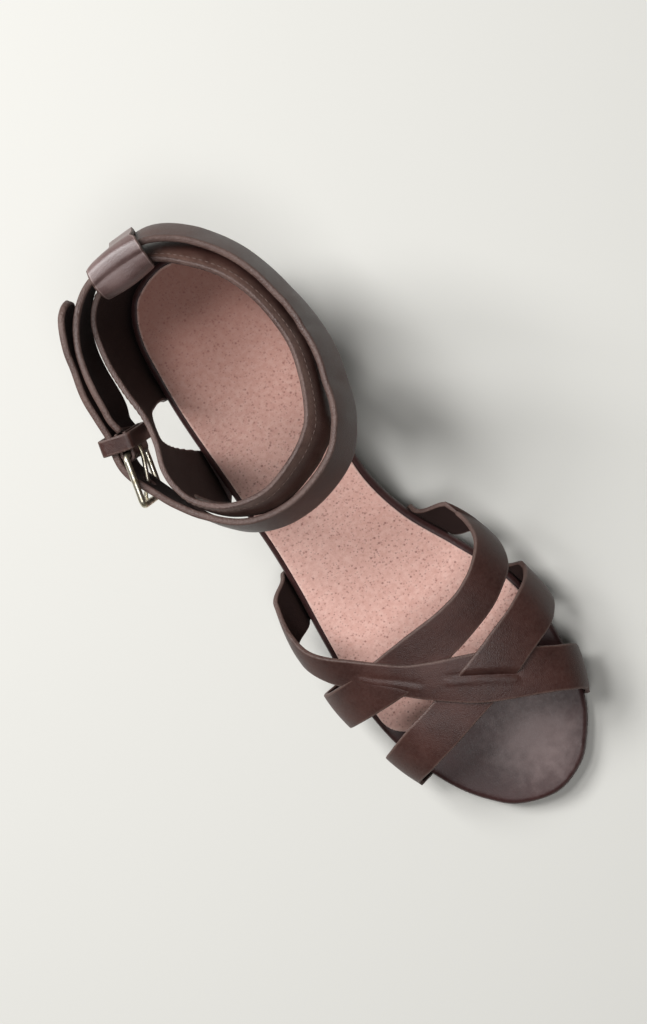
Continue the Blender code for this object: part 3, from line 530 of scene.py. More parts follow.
def pigskinMaterial(name, look):
    # Unlined pigskin: matte, clouded, with its pores in small clusters
    material, tree, shader = freshMaterial(name)
    uv = linked(tree, "ShaderNodeUVMap", uv_map="pattern").outputs[0]
    cloud = noise(tree, uv, 38.0, 4.0, 0.55)
    broad = noise(tree, uv, 12.0, 2.0)
    fibre = noise(tree, uv, 1100.0, 3.0, 0.65)
    colour = blend(tree, span(tree, cloud, 0.35, 0.68), look["light"], look["dark"])
    colour = blend(tree, span(tree, broad, 0.45, 0.7, 0.0, 0.6), colour, look["flushed"])
    mottle = noise(tree, uv, 420.0, 4.0, 0.75)
    colour = blend(tree, span(tree, mottle, 0.42, 0.7, 0.0, 0.7), colour, look["flushed"])
    colour = blend(tree, span(tree, mottle, 0.52, 0.3, 0.0, 0.3), colour, look["cut edge"])
    # Darker towards the heel: partly the lining's own warmer tone there, partly painted shade under the heel
    # counter.
    heel = linked(tree, "ShaderNodeSeparateXYZ", {"Vector": uv}).outputs["Y"]
    colour = blend(tree, span(tree, heel, 0.105, 0.005, 0.0, 0.8, True), colour, look["heel"])
    pores = None
    for layer in look["pore layers"]:
        scale, radius, seed, amount = (layer[key] for key in ("scale", "radius", "seed", "amount"))
        moved = linked(tree, "ShaderNodeVectorMath", {0: uv, 1: (seed, seed * 0.6, 0.0)}, operation="ADD")
        cell = linked(tree, "ShaderNodeTexVoronoi", {"Vector": moved.outputs[0], "Scale": scale,
                                                     "Randomness": 0.9})
        tint = linked(tree, "ShaderNodeSeparateColor", {"Color": cell.outputs["Color"]}).outputs[0]
        thick = noise(tree, moved.outputs[0], 70.0, 2.0)
        chosen = span(tree, sums(tree, "ADD", tint, thick), look["pore share"],
                      look["pore share"] + 0.35)
        dot = span(tree, cell.outputs["Distance"], radius * 0.35, radius, 1.0, 0.0, True)
        spot = sums(tree, "MULTIPLY", sums(tree, "MULTIPLY", dot, chosen), amount)
        pores = spot if pores is None else sums(tree, "MAXIMUM", pores, spot)
    colour = blend(tree, sums(tree, "MULTIPLY", pores, look["pore depth"]), colour, look["pore"])
    edge = linked(tree, "ShaderNodeAttribute", attribute_name="fromEdge").outputs["Fac"]
    colour = blend(tree, span(tree, edge, 0.0, 0.0012, 0.55, 0.0, True), colour, look["cut edge"])
    tree.links.new(colour, shader.inputs["Base Color"])
    rough = span(tree, fibre, 0.3, 0.7, 0.62, 0.8)
    tree.links.new(rough, shader.inputs["Roughness"])
    relief = sums(tree, "SUBTRACT", sums(tree, "MULTIPLY", fibre, 0.5), pores)
    raised(tree, shader, relief, 0.45, 0.0002)
    shader.inputs["Specular IOR Level"].default_value = 0.3
    shader.inputs["Sheen Weight"].default_value = 0.2
    shader.inputs["Sheen Roughness"].default_value = 0.5
    return material


soleRubber = rubberMaterial("soleRubber", rgb(44, 32, 29), rgb(62, 48, 44))
heelRubber = rubberMaterial("heelRubber", rgb(34, 28, 27), rgb(50, 42, 40))
pigskin = pigskinMaterial("pigskin", {
    "light": rgb(230, 186, 174), "dark": rgb(223, 178, 166), "flushed": rgb(204, 154, 141),
    "heel": rgb(136, 84, 70), "pore": rgb(138, 90, 82), "cut edge": rgb(236, 205, 194),
    "pore share": 0.5, "pore depth": 0.7, "pore layers": table(
        "scale radius seed amount",
        (400.0, 0.25, 0.0, 1.0), (640.0, 0.32, 3.7, 0.8), (900.0, 0.36, 8.1, 0.6),
    ),
})


def metalMaterial(name, look):
    material, tree, shader = freshMaterial(name)
    where = linked(tree, "ShaderNodeTexCoord").outputs["Object"]
    tarnish = noise(tree, where, 420.0, 4.0)
    scratch = noise(tree, where, 2600.0, 2.0)
    colour = blend(tree, span(tree, tarnish, 0.42, 0.66), look["bright"], look["tarnish"])
    tree.links.new(colour, shader.inputs["Base Color"])
    tree.links.new(span(tree, tarnish, 0.35, 0.7, 0.3, 0.5), shader.inputs["Roughness"])
    raised(tree, shader, scratch, 0.12, 0.0002)
    shader.inputs["Metallic"].default_value = 1.0
    return material


agedBrass = metalMaterial("agedBrass", {"bright": rgb(228, 222, 206), "tarnish": rgb(160, 150, 122)})


def threadMaterial(name, light, dark):
    material, tree, shader = freshMaterial(name)
    where = linked(tree, "ShaderNodeTexCoord").outputs["Object"]
    twist = noise(tree, where, 3000.0, 2.0)
    colour = blend(tree, span(tree, twist, 0.35, 0.65), dark, light)
    tree.links.new(colour, shader.inputs["Base Color"])
    tree.links.new(span(tree, twist, 0.3, 0.7, 0.6, 0.8), shader.inputs["Roughness"])
    raised(tree, shader, twist, 0.4, 0.0001)
    return material


thread = threadMaterial("thread", rgb(98, 78, 70), rgb(72, 53, 47))
print("materials ready")


# Sole: boards cut flat in plan, then bent along the side view
def planLoop(inset, steps=12):
    medial = [{"across": row["medial"], "along": row["along"]} for row in outline]
    lateral = [{"across": -row["lateral"], "along": row["along"]} for row in outline]
    corners = [{"across": -0.3, "along": 0.0}] + medial + [{"along": 249.6, "across": 6.5}] + lateral[::-1]
    line = through(corners, steps, closed=True)
    loop = evenly(np.stack([line["across"], line["along"]], axis=1), 1.6)
    way = np.roll(loop, -1, axis=0) - np.roll(loop, 1, axis=0)
    way /= np.linalg.norm(way, axis=1, keepdims=True)
    return loop + np.stack([-way[:, 1], way[:, 0]], axis=1) * inset


groundedDrop = 0.25  # lets the sole bear on the floor over its whole ball
boardCuts = {"along": 2.5, "across": 4.0, "widest": 36.0}  # strips that let a flat board bend


def board(name, loopAt, edge, grounded=False):
    # edge lists (inset, rise) from the middle of the lower face, out round the side, to the upper face
    shape = bmesh.new()
    rings = []
    for inset, rise in edge:
        rings.append([shape.verts.new((x, y, rise)) for x, y in loopAt(inset)])
    size = len(rings[0])
    for lower, upper in zip(rings, rings[1:]):
        for i in range(size):
            j = (i + 1) % size
            shape.faces.new((lower[i], lower[j], upper[j], upper[i]))
    shape.faces.new(rings[0][::-1])
    shape.faces.new(rings[-1])
    ys = [v.co.y for v in shape.verts]
    strip, widest = boardCuts["along"], boardCuts["widest"]
    cuts = [((0, y, 0), (0, 1, 0)) for y in np.arange(min(ys) + strip, max(ys) - 1.0, strip)]
    cuts += [((x, 0, 0), (1, 0, 0)) for x in np.arange(-widest, widest + 1.0, boardCuts["across"])]
    for at, square in cuts:
        everything = shape.verts[:] + shape.edges[:] + shape.faces[:]
        bmesh.ops.bisect_plane(shape, geom=everything, dist=0.02, plane_co=at, plane_no=square)
    flat = np.array([v.co for v in shape.verts])
    bent = bed(flat[:, 0], flat[:, 1], flat[:, 2])
    if grounded:
        bent[:, 2] = np.maximum(bent[:, 2] - groundedDrop * mm, 0.0)
    uv = shape.loops.layers.uv.new("pattern")
    for face in shape.faces:
        for loop in face.loops:
            loop[uv].uv = (loop.vert.co.x * mm, loop.vert.co.y * mm)
    for vertex, point in zip(shape.verts, bent):
        vertex.co = point
    bmesh.ops.recalc_face_normals(shape, faces=shape.faces)
    mesh = bpy.data.meshes.new(name)
    shape.to_mesh(mesh)
    shape.free()
    piece = shown(name, mesh)
    rim = nearTree([(x, y, 0.0) for x, y in loopAt(0.0)])
    floatAttribute(mesh, "fromEdge", [rim.find((x, y, 0.0))[2] * mm for x, y, _ in flat])
    smooth(piece, 50)
    return piece


footbed = board(
    "footbedCover", planLoop,
    [(2.5, -4.0), (0.9, -4.0), (0.25, -3.7), (0.0, -3.1), (0.0, -1.9), (0.12, -1.25), (0.5, -0.6),
     (1.1, -0.2), (1.9, -0.03), (3.0, 0.0)],
)
footbed.data.materials.append(coverLeather)
finish(footbed, "cover_leather", "footbed")

liningSizes = {"thickness": 0.8, "inset": 2.4, "front": 203.0, "gap": 0.3}


def liningLoop(inset):
    # the footbed's outline drawn in, with a rounded front end
    front = liningSizes["front"] - inset
    start = front - 14.0
    loop = planLoop(liningSizes["inset"] + inset)
    loop = loop[loop[:, 1] < start]
    angle = np.radians(np.arange(0.0, 180.1, 6.0))
    side = np.where(angle < math.pi / 2, 1.0, -1.0)
    reach = halfWidth(side, start) - liningSizes["inset"] - inset
    across = reach * np.abs(np.cos(angle)) ** 0.55 * side
    along = start + 14.0 * np.sin(angle) ** 0.8
    split = int(np.argmax(np.where(loop[:, 0] > 0, loop[:, 1], -1.0)))
    loop = np.vstack([loop[: split + 1], np.stack([across, along], axis=1), loop[split + 1:]])
    return resampled(loop, 260)


def resampled(loop, count):
    closed = np.vstack([loop, loop[:1]])
    length = lengths(closed)
    at = np.linspace(0.0, length[-1], count + 1)[:-1]
    return np.stack([np.interp(at, length, closed[:, k]) for k in (0, 1)], axis=1)


lining = board(
    "sockLining", liningLoop,
    [(2.0, 0.3), (0.4, 0.3), (0.1, 0.4), (0.0, 0.62), (0.08, 0.85), (0.3, 1.02), (0.8, 1.1), (2.0, 1.1)],
)
lining.data.materials.append(pigskin)
finish(lining, "lining_leather", "sock_lining")

outsole = board(
    "outsoleBoard", lambda inset: planLoop(0.8 + inset),
    [(3.0, -8.0), (0.9, -8.0), (0.25, -7.75), (0.0, -7.2), (0.0, -5.6), (0.18, -5.45), (0.0, -5.3),
     (0.0, -4.5), (0.25, -4.3), (3.0, -4.3)],
    grounded=True,
)
outsole.data.materials.append(soleRubber)
finish(outsole, "sole_rubber", "outsole")
print("sole ready")

heelRows = table(
    "height lateral medial back breast",
    (0.0, 17.5, 17.5, 5.0, 44.0), (5.0, 17.6, 17.6, 4.8, 44.0), (15.0, 18.2, 18.2, 4.2, 44.2),
    (30.0, 20.2, 20.2, 3.0, 46.2), (45.0, 23.2, 23.6, 1.8, 50.5), (62.0, 25.6, 26.4, 0.6, 56.0),
)
heelSize = {name: trace(heelRows, "height", name) for name in ("lateral", "medial", "back", "breast")}


def heelRing(height, inset=0.0):
    # section of the block: rounded back, nearly flat sides, flat breast with eased corners
    lateral, medial = heelSize["lateral"](height) - inset, heelSize["medial"](height) - inset
    back, breast = heelSize["back"](height) + inset, heelSize["breast"](height) - inset
    depth = breast - back
    angle = np.radians(np.arange(0.0, 180.1, 5.0))
    side = np.where(angle < math.pi / 2, medial, lateral)
    across = side * np.sign(np.cos(angle)) * np.abs(np.cos(angle)) ** 0.8
    run = back + depth * 0.55 * (1.0 - np.sin(angle) ** 0.8)
    breastLine = [
        (-lateral * 0.985, back + depth * 0.7), (-lateral * 0.965, back + depth * 0.86),
        (-lateral * 0.94, breast - 1.8), (-lateral * 0.905, breast - 0.5), (-lateral * 0.85, breast - 0.15),
        (-lateral * 0.4, breast - 1.1), (0.0, breast - 1.4), (medial * 0.4, breast - 1.1),
        (medial * 0.85, breast - 0.15), (medial * 0.905, breast - 0.5), (medial * 0.94, breast - 1.8),
        (medial * 0.965, back + depth * 0.86), (medial * 0.985, back + depth * 0.7),
    ]
    return resampled(np.vstack([np.stack([across, run], axis=1), np.array(breastLine)]), 120)


def underside(across, run, rise):
    # height of a board's face over a place on the floor
    along = np.interp(run, runAt(np.arange(0.0, 252.0, 0.5)), np.arange(0.0, 252.0, 0.5))
    for _ in range(4):
        point = bed(across, along, rise)
        along = along + (run - (shiftAlong - point[..., 1] / mm))
    return bed(across, along, rise)[..., 2] / mm


def block(name, low, high, material, seated):
    rings = []
    levels = [(low, 0.9), (low + 0.1, 0.4), (low + 0.4, 0.1), (low + 0.9, 0.0)]
    if seated:
        levels += [(h, 0.0) for h in np.linspace(low + 2.5, high, 22)]
    else:
        levels += [(high - 0.9, 0.0), (high - 0.4, 0.1), (high - 0.1, 0.4), (high, 0.9)]
    for height, inset in levels:
        ring = heelRing(height, inset)
        z = np.full(len(ring), float(height))
        if seated:
            top = underside(ring[:, 0], ring[:, 1], -8.0) - 0.15
            part = np.clip((height - low) / (high - low), 0.0, 1.0)
            z = np.where(height > low + 1.0, low + (top - low) * part, z)
            ring = np.array([heelRing(h, inset)[i] for i, h in enumerate(z)]) if height > low + 1.0 else ring
        rings.append(place(ring[:, 0], ring[:, 1], z))
    count = len(rings[0])
    verts = np.concatenate(rings)
    faces = []
    for r in range(len(rings) - 1):
        for i in range(count):
            j = (i + 1) % count
            faces.append((r * count + i, r * count + j, (r + 1) * count + j, (r + 1) * count + i))
    faces.append(tuple(range(count))[::-1])
    faces.append(tuple(range((len(rings) - 1) * count, len(rings) * count)))
    piece = addPiece(name, verts, faces)
    outwards(piece)
    smooth(piece, 45)
    piece.data.materials.append(material)
    return piece


heel = block("heelBlock", 5.3, 56.0, coverLeather, True)
finish(heel, "cover_leather", "heel")
topPiece = block("heelTopPiece", 0.0, 5.0, heelRubber, False)
finish(topPiece, "sole_rubber", "top_piece")
print("heel ready")

# Toe straps: round the last from one tucked end to the other, over and under
strapColumns = "turn heelEdge toeEdge"
rearStrap = table(
    strapColumns,
    (115, 131.0, 147.5), (95, 137.0, 154.5), (80, 142.8, 161.5), (65, 149.6, 168.0), (52, 154.5, 172.0),
    (38, 160.0, 177.0), (25, 163.3, 180.5), (10, 165.0, 183.4), (-4, 165.6, 185.2), (-16, 166.4, 186.2),
    (-30, 167.5, 186.4), (-45, 168.2, 186.3), (-60, 168.8, 186.1), (-85, 169.3, 186.0), (-115, 169.5, 186.0),
)
crossStrap = table(
    strapColumns,
    (-115, 124.0, 145.0), (-100, 126.0, 147.5), (-88, 129.5, 151.0), (-76, 138.0, 156.5), (-62, 148.0, 163.5),
    (-48, 155.0, 171.0), (-35, 162.0, 179.0), (-24, 168.8, 186.5), (-13, 176.3, 194.5), (-3, 181.0, 201.0),
    (7, 184.5, 206.2), (18, 188.5, 210.3), (32, 194.5, 214.5), (46, 199.6, 218.0), (62, 204.0, 221.2),
    (88, 207.5, 224.0), (115, 209.5, 225.0),
)
frontStrap = table(
    strapColumns,
    (115, 168.5, 184.5), (100, 170.5, 186.5), (85, 172.3, 189.5), (72, 174.8, 193.0), (58, 177.5, 196.3),
    (44, 181.0, 199.5), (30, 184.2, 203.3), (17, 187.8, 206.8), (3, 191.5, 209.5), (-10, 194.0, 211.7),
    (-22, 196.2, 213.6), (-36, 198.3, 215.2), (-50, 200.3, 216.5), (-67, 202.0, 217.3), (-90, 203.0, 218.0),
    (-115, 203.3, 218.2),
)
weaveColumns = "heelTurn toeTurn layer"  # +1 over the cross strap, -1 under it
rearWeave = table(
    weaveColumns,
    (45.0, 61.0, 0.0), (-10.0, 18.0, -1.0), (-33.0, -10.5, -1.0), (-43.0, -20.5, 0.15), (-54.0, -30.0, 0.15),
    (-86.0, -70.0, 0.0),
)
frontWeave = table(
    weaveColumns,
    (72.0, 84.0, 0.0), (36.0, 54.0, 1.0), (7.5, 32.0, 0.9), (0.5, 25.0, -1.0), (-16.0, 8.0, -1.0),
    (-50.0, -34.0, 0.0),
)
toeSizes = {"thickness": 1.8, "layer": 1.55, "axis": 1.0, "widest": 11.0, "first turn": 115.0, "crown": 0.3,
            "tuck": 6.0, "slant": 1.0, "edge": 0.5}


def overLast(turn, along, lift):
    side = np.where(turn > 0, 1.0, -1.0)
    reach = np.where(turn > 0, lastInner(along), lastOuter(along))
    high = lastHeight(along)
    angle = np.radians(turn)
    widest = reach - side * toeSizes["axis"]
    top = bed(
        toeSizes["axis"] + (widest + lift) * np.sin(angle), along,
        toeSizes["widest"] + (high - toeSizes["widest"] + lift) * np.cos(angle),
    )
    part = np.clip((np.abs(turn) - 90.0) / (toeSizes["first turn"] - 90.0), 0.0, 1.0)
    eased = smoothStep(part)
    outside = (reach - halfWidth(side, along)) * (1.0 - eased) + 1.35 * eased
    low = beside(side, along, outside, toeSizes["widest"] * (1.0 - part))
    return np.where((np.abs(turn) <= 90.0)[..., None], top, low)


def weaveAt(weave, turn, values):
    middles = np.array([(row["heelTurn"] + row["toeTurn"]) * 0.5 for row in weave])
    at = np.clip(np.searchsorted(-middles, -turn) - 1, 0, len(middles) - 2)
    share = smoothStep((middles[at] - turn) / (middles[at] - middles[at + 1]))
    values = np.array(values, float)
    return values[at] + (values[at + 1] - values[at]) * share


slitLips = table(  # where a strap passes through the cross strap: ends of the slit and the lip's rise
    "fromTurn fromAlong toTurn toAlong rise",
    (-1.5, 190.2, 28.5, 205.6, 0.55), (-38.5, 168.6, -13.5, 186.8, 0.3),
)


def lipLift(turn, along):
    # the slit's toe side edge stands up a little, its heel side is pressed down
    lift = 0.0 * along
    for lip in slitLips:
        scale = 0.62  # millimetres of surface to a degree of turn
        start = np.array([lip["fromTurn"] * scale, lip["fromAlong"]])
        way = np.array([lip["toTurn"] * scale, lip["toAlong"]]) - start
        size = np.linalg.norm(way)
        way /= size
        x, y = turn * scale - start[0], along - start[1]
        onward = x * way[0] + y * way[1]
        aside = way[0] * y - way[1] * x
        inside = smoothStep((onward + 1.0) / 2.0) * smoothStep((size + 1.0 - onward) / 2.0)
        ridge = np.exp(-((aside - 0.8) / 0.9) ** 2) - 0.8 * np.exp(-((aside + 1.0) / 1.1) ** 2)
        lift = lift + lip["rise"] * inside * ridge
    return lift


def toeStrap(name, rows, weave):
    heelEdge, toeEdge = trace(rows, "turn", "heelEdge"), trace(rows, "turn", "toeEdge")
    first, lastTurn = rows[0]["turn"], rows[-1]["turn"]
    part = np.linspace(0.0, 1.0, 17)[None, :]
    crown = toeSizes["crown"] * (1.0 - (2 * part - 1) ** 2)

    def alongAt(turn):
        return heelEdge(turn) + (toeEdge(turn) - heelEdge(turn)) * part

    turns = np.linspace(first, lastTurn, 210)[:, None]
    own, lift = turns + 0 * part, np.zeros_like(turns)
    if weave:
        skews = [row["toeTurn"] - row["heelTurn"] for row in weave]
        skews[0] = skews[-1] = 0.0
        own = turns + (part - 0.5) * weaveAt(weave, turns, skews)
        lift = weaveAt(weave, turns, [row["layer"] for row in weave]) * toeSizes["layer"]
    else:
        lift = lipLift(own, alongAt(own))
    middle = overLast(own, alongAt(own), lift + crown)
    tuck = through(table(
        "outside rise",
        (1.35, -1.2), (1.35, -2.8), (1.2, -4.2), (0.55, -5.1), (-0.6, -5.35), (0.8 - toeSizes["tuck"], -5.35),
        (-toeSizes["tuck"], -5.35),
    ), 3)
    ends = []
    for turn, near in ((first, middle[0]), (lastTurn, middle[-1])):
        side = 1.0 if turn > 0 else -1.0
        inner = turn - side * 8.0
        drop = np.linalg.norm(overLast(inner + 0 * part, alongAt(inner), crown)[0, 8] - near[8]) / mm
        slant = (alongAt(turn)[0] - alongAt(inner)[0]) / drop
        tuckRows = []
        for outside, rise in zip(tuck["outside"], tuck["rise"]):
            slid = slant * toeSizes["slant"] * (1.0 - math.exp(rise / toeSizes["slant"]))
            tuckRows.append(beside(side, alongAt(turn)[0] + slid, outside + 0.3 * crown[0], rise))
        ends.append(np.stack(tuckRows))
    grid = np.concatenate([ends[0][::-1], middle, ends[1]])
    for corner in (len(ends[0]), len(grid) - len(ends[1])):
        low, high = corner - 6, corner + 9
        for _ in range(14):
            beforeAndAfter = grid[low - 1:high - 1] + grid[low + 1:high + 1]
            grid[low:high] = 0.5 * grid[low:high] + 0.25 * beforeAndAfter
    return ribbon(name, grid, toeSizes["thickness"], toeSizes["edge"])


def patternOf(grid):
    # lengths along and across a grid of points, in metres
    middle = grid[:, grid.shape[1] // 2]
    along = lengths(middle)
    across = np.concatenate(
        [np.zeros((len(grid), 1)), np.cumsum(np.linalg.norm(np.diff(grid, axis=1), axis=2), axis=1)], axis=1
    )
    return np.stack([np.broadcast_to(along[:, None], across.shape), across], axis=-1)


def ribbon(name, grid, thickness, rounding, closed=False):
    rows, columns = grid.shape[:2]
    flat = patternOf(grid).reshape(-1, 2)
    faces = gridFaces(rows, columns, closed)
    return leatherSheet(name, grid.reshape(-1, 3), flat, faces, thickness, rounding)


def slitEdge(name, lip, lift, width):
    # the cut edge of a slit in the cross strap, standing up beside the strap that goes through it
    part = np.linspace(0.0, 1.0, 60)
    turn = lip["fromTurn"] + (lip["toTurn"] - lip["fromTurn"]) * part
    along = lip["fromAlong"] + (lip["toAlong"] - lip["fromAlong"]) * part
    rise = lift * np.minimum(1.0, np.minimum(part, 1.0 - part) * 8.0 + 0.15)
    across = np.linspace(-0.5, 0.5, 4)[None, :] * width
    grid = overLast(turn[:, None] + 0 * across, along[:, None] + 0.8 + across, rise[:, None] + 0 * across)
    piece = ribbon(name, grid, 0.7, 0.3)
    piece.data.materials[0] = edgePaint
    return finish(piece, "strap_leather")


slitEdge("slitEdgeFront", slitLips[0], 0.95, 0.75)
rear = toeStrap("toeStrapRear", rearStrap, rearWeave)
cross = toeStrap("toeStrapCross", crossStrap, [])
front = toeStrap("toeStrapFront", frontStrap, frontWeave)
finish(cross, "strap_leather", "toe_straps")
finish(rear, "strap_leather")
finish(front, "strap_leather")
print("toe straps ready")

# Quarter: heel counter, side stays and front band, cut from one pattern
quarterRows = table(
    "topAcross topRun topHeight footAcross footRun footHeight bulge roll",
    (-7.5, 5.8, 107.0, -3.0, -1.4, 53.5, 3.6, 0.0), (2.0, 7.0, 107.0, 5.0, -1.1, 53.5, 4.8, 0.0),
    (8.6, 11.4, 107.0, 13.0, 1.0, 53.0, 6.0, 0.4), (14.2, 17.0, 107.0, 19.5, 5.4, 52.4, 6.2, 0.8),
    (19.0, 22.6, 107.0, 23.6, 11.4, 51.4, 5.6, 1.1), (23.4, 29.6, 107.0, 27.4, 20.5, 49.8, 4.8, 1.5),
    (26.7, 38.8, 107.0, 29.2, 33.0, 47.5, 4.0, 1.8), (28.4, 49.4, 107.5, 28.8, 46.5, 45.0, 3.0, 2.5),
    (28.5, 60.6, 108.5, 26.9, 60.5, 41.5, 2.2, 3.6), (25.9, 71.0, 109.5, 24.0, 73.0, 37.5, 1.4, 4.6),
    (21.9, 80.6, 110.5, 24.0, 90.0, 34.0, 0.6, 5.0), (17.0, 87.4, 111.0, 32.0, 102.0, 34.0, 0.0, 4.4),
    (7.6, 93.4, 111.5, 18.0, 113.0, 34.0, 0.0, 3.4), (-6.4, 97.4, 111.5, -8.0, 119.0, 34.0, 0.0, 2.4),
    (-19.4, 94.6, 111.5, -27.0, 108.0, 34.0, 0.0, 0.8), (-28.2, 87.0, 111.5, -34.0, 95.0, 34.0, 0.0, 0.0),
    (-31.4, 79.0, 111.0, -32.5, 86.5, 34.0, 0.6, 0.0), (-31.4, 71.0, 110.5, -30.4, 73.5, 37.5, 1.4, 0.0),
    (-28.8, 62.0, 108.5, -29.2, 62.0, 41.0, 1.4, 0.0), (-27.4, 52.0, 107.0, -28.6, 51.5, 44.0, 1.4, 0.0),
    (-28.0, 40.0, 106.5, -27.6, 39.0, 46.5, 1.6, 0.0), (-27.4, 27.6, 106.5, -26.8, 28.0, 48.5, 1.4, 0.0),
    (-24.0, 15.0, 106.5, -22.3, 11.2, 51.5, 1.0, 0.0), (-17.0, 8.2, 107.0, -13.2, 1.2, 53.0, 2.2, 0.0),
)
windowCorners = [(42.0, 20.0), (42.0, 54.0), (46.0, 74.0), (49.0, 84.0), (53.0, 92.0), (57.0, 97.0),
                 (60.0, 97.0), (62.0, 84.0), (63.0, 60.0), (63.5, 20.0)]
frontCorners = [(85.0, 20.0), (85.0, 60.0), (83.5, 78.0), (82.5, 88.0), (84.5, 94.0), (90.0, 97.5),
                (97.0, 99.5), (125.0, 99.5)]
quarterSizes = {"thickness": 2.0, "skew": 1.6, "roll skew": 4.0, "row": 10.5, "tall": 58.0, "edge": 0.7,
                "press": 0.3}
quarterSteps = 40
quarterFine = through(quarterRows, quarterSteps, closed=True)


def quarterPoint(order, part):
    # order counts the rows round the ankle, part runs from the sole to the top line
    position = np.mod(order, len(quarterRows)) * quarterSteps
    low = np.floor(position).astype(int) % (len(quarterRows) * quarterSteps)
    high = (low + 1) % (len(quarterRows) * quarterSteps)
    share = position - np.floor(position)
    row = {name: v[low] * (1 - share) + v[high] * share for name, v in quarterFine.items()}
    top = place(row["topAcross"], row["topRun"], row["topHeight"])
    foot = place(row["footAcross"], row["footRun"], row["footHeight"])
    out = foot + top - 2.0 * place(0.0, 50.0, 0.0)
    out[..., 2] = 0.0
    out /= np.linalg.norm(out, axis=-1, keepdims=True)
    part = np.asarray(part, float)
    foot = foot - out * quarterSizes["press"] * mm
    bulge = row["bulge"] * mm * np.sin(math.pi * np.clip(part, 0, 1) ** quarterSizes["skew"])
    bulge = bulge + row["roll"] * mm * np.sin(math.pi * np.clip(part, 0, 1) ** quarterSizes["roll skew"])
    return foot + (top - foot) * part[..., None] + out * bulge[..., None]


def quarterLower():
    # lower edge of the pattern, round from the back: sole line, windows and front opening
    orders = np.arange(0.0, len(quarterRows), 0.04)
    parts = np.linspace(0.0, 1.0, 161)
    grid = quarterPoint(orders[:, None] + 0 * parts, parts + 0 * orders[:, None])
    run, height = shiftAlong - grid[..., 1] / mm, grid[..., 2] / mm
    sides = []
    for inner in (True, False):
        chosen = np.nonzero(orders < 13.0 if inner else orders >= 13.0)[0]
        near = KDTree(len(chosen) * len(parts))
        for i in chosen:
            for k in range(len(parts)):
                near.insert((run[i, k], height[i, k], 0.0), int(i) * len(parts) + k)
        near.balance()
        found = [(0.0 if inner else float(len(quarterRows)), 0.0)]
        for corners in (windowCorners, frontCorners):
            line = through([{"run": r, "height": h} for r, h in corners], 8)
            line = evenly(np.stack([line["run"], line["height"]], axis=1), 0.5, closed=False)
            for r, h in line:
                _, index, far = near.find((r, h, 0.0))
                if far < 0.6:
                    found.append((orders[index // len(parts)], parts[index % len(parts)]))
        sides.append(found)
    return np.array(sides[0] + sides[1][::-1], float)


def makeQuarter():
    scale = np.array([quarterSizes["row"], quarterSizes["tall"]])
    whole = float(len(quarterRows))
    lower = quarterLower()
    lower = evenly(lower * scale, 1.0, closed=False)
    seam = np.linspace(0.0, 1.0, 56)[1:-1]
    right = np.stack([0 * seam + whole, seam], axis=1) * scale
    topLine = np.stack([np.linspace(whole, 0.0, 240), np.ones(240)], axis=1) * scale
    left = np.stack([0 * seam, seam[::-1]], axis=1) * scale
    verts, tris = cutPattern(np.vstack([lower, right, topLine, left]), [], 1.7, 1.15)
    order, part = verts[:, 0] / scale[0], verts[:, 1] / scale[1]
    start = {round(float(part[i]), 4): i for i in np.nonzero(order < 1e-4)[0]}
    swap = np.arange(len(verts))
    for i in np.nonzero(order > whole - 1e-4)[0]:
        swap[i] = start.get(round(float(part[i]), 4), i)
    points = quarterPoint(order, part)
    tris = swap[tris]
    used = np.unique(tris)
    fresh = np.zeros(len(verts), int)
    fresh[used] = np.arange(len(used))
    return leatherSheet(
        "quarterWall", points[used], verts[used] * mm, fresh[tris], quarterSizes["thickness"],
        quarterSizes["edge"],
    )


# Its pale band along every edge, 9 mm wide, is mostly painted light: it makes the collar above the ankle
# strap look lit.
quarterLeather = leatherMaterial("quarterLeather", strapLook | {"edge width": 0.009, "edge wear and light": 0.75})
quarter = makeQuarter()
quarter.data.materials[0] = quarterLeather
finish(quarter, "strap_leather", "quarter")
print("quarter ready")

marginSizes = {"thickness": 0.9, "reach": 7.0, "level": -4.1, "edge": 0.3}


def lastingMargin(name, orders):
    # the wall's lower edge turned in under the footbed
    foot = quarterPoint(orders, 0.0 * orders)
    run, across = shiftAlong - foot[:, 1] / mm, foot[:, 0] / mm - shiftAcross
    inward = place(0.0, 50.0, 0.0) - foot
    inward[:, 2] = 0.0
    inward /= np.linalg.norm(inward, axis=1, keepdims=True)
    grid = []
    for step in np.linspace(-0.6, marginSizes["reach"], 9):
        x, y = across + inward[:, 0] * step, run - inward[:, 1] * step
        grid.append(place(x, y, underside(x, y, marginSizes["level"])))
    return ribbon(name, np.stack(grid, axis=1), marginSizes["thickness"], marginSizes["edge"])


for name, first, stop in (("marginHeel", -3.9, 6.1), ("marginInner", 8.4, 9.6), ("marginOuter", 16.0, 17.9)):
    finish(lastingMargin(name, np.arange(first, stop, 0.08)), "strap_leather")

loopPath = table(
    "run height across width curve",
    (8.6, 102.0, -5.0, 18.0, 0.0), (10.9, 105.0, -5.0, 19.5, -0.006), (11.5, 107.6, -5.0, 20.5, -0.012),
    (10.2, 110.2, -5.0, 21.0, -0.008), (7.6, 111.8, -5.0, 21.5, 0.0), (5.4, 112.7, -5.0, 21.5, 0.004),
    (4.0, 113.8, -4.8, 21.5, 0.008), (2.4, 114.2, -4.6, 21.5, 0.01), (0.8, 114.1, -4.4, 21.0, 0.01),
    (-0.6, 112.9, -4.0, 20.0, 0.01), (-1.3, 111.6, -1.5, 13.0, 0.008), (-2.0, 109.2, 0.2, 10.4, 0.004),
    (-3.6, 104.0, 0.2, 10.2, 0.004), (-5.4, 99.4, 0.0, 10.0, 0.002), (-6.5, 95.8, -0.4, 10.0, 0.002),
    (-6.5, 93.0, -0.7, 10.0, 0.004), (-5.2, 90.8, -1.0, 10.0, 0.008), (-3.4, 88.8, -1.0, 10.0, 0.01),
    (-0.4, 87.2, -1.0, 10.0, 0.012),
)
loopSizes = {"thickness": 1.7, "edge": 0.55}


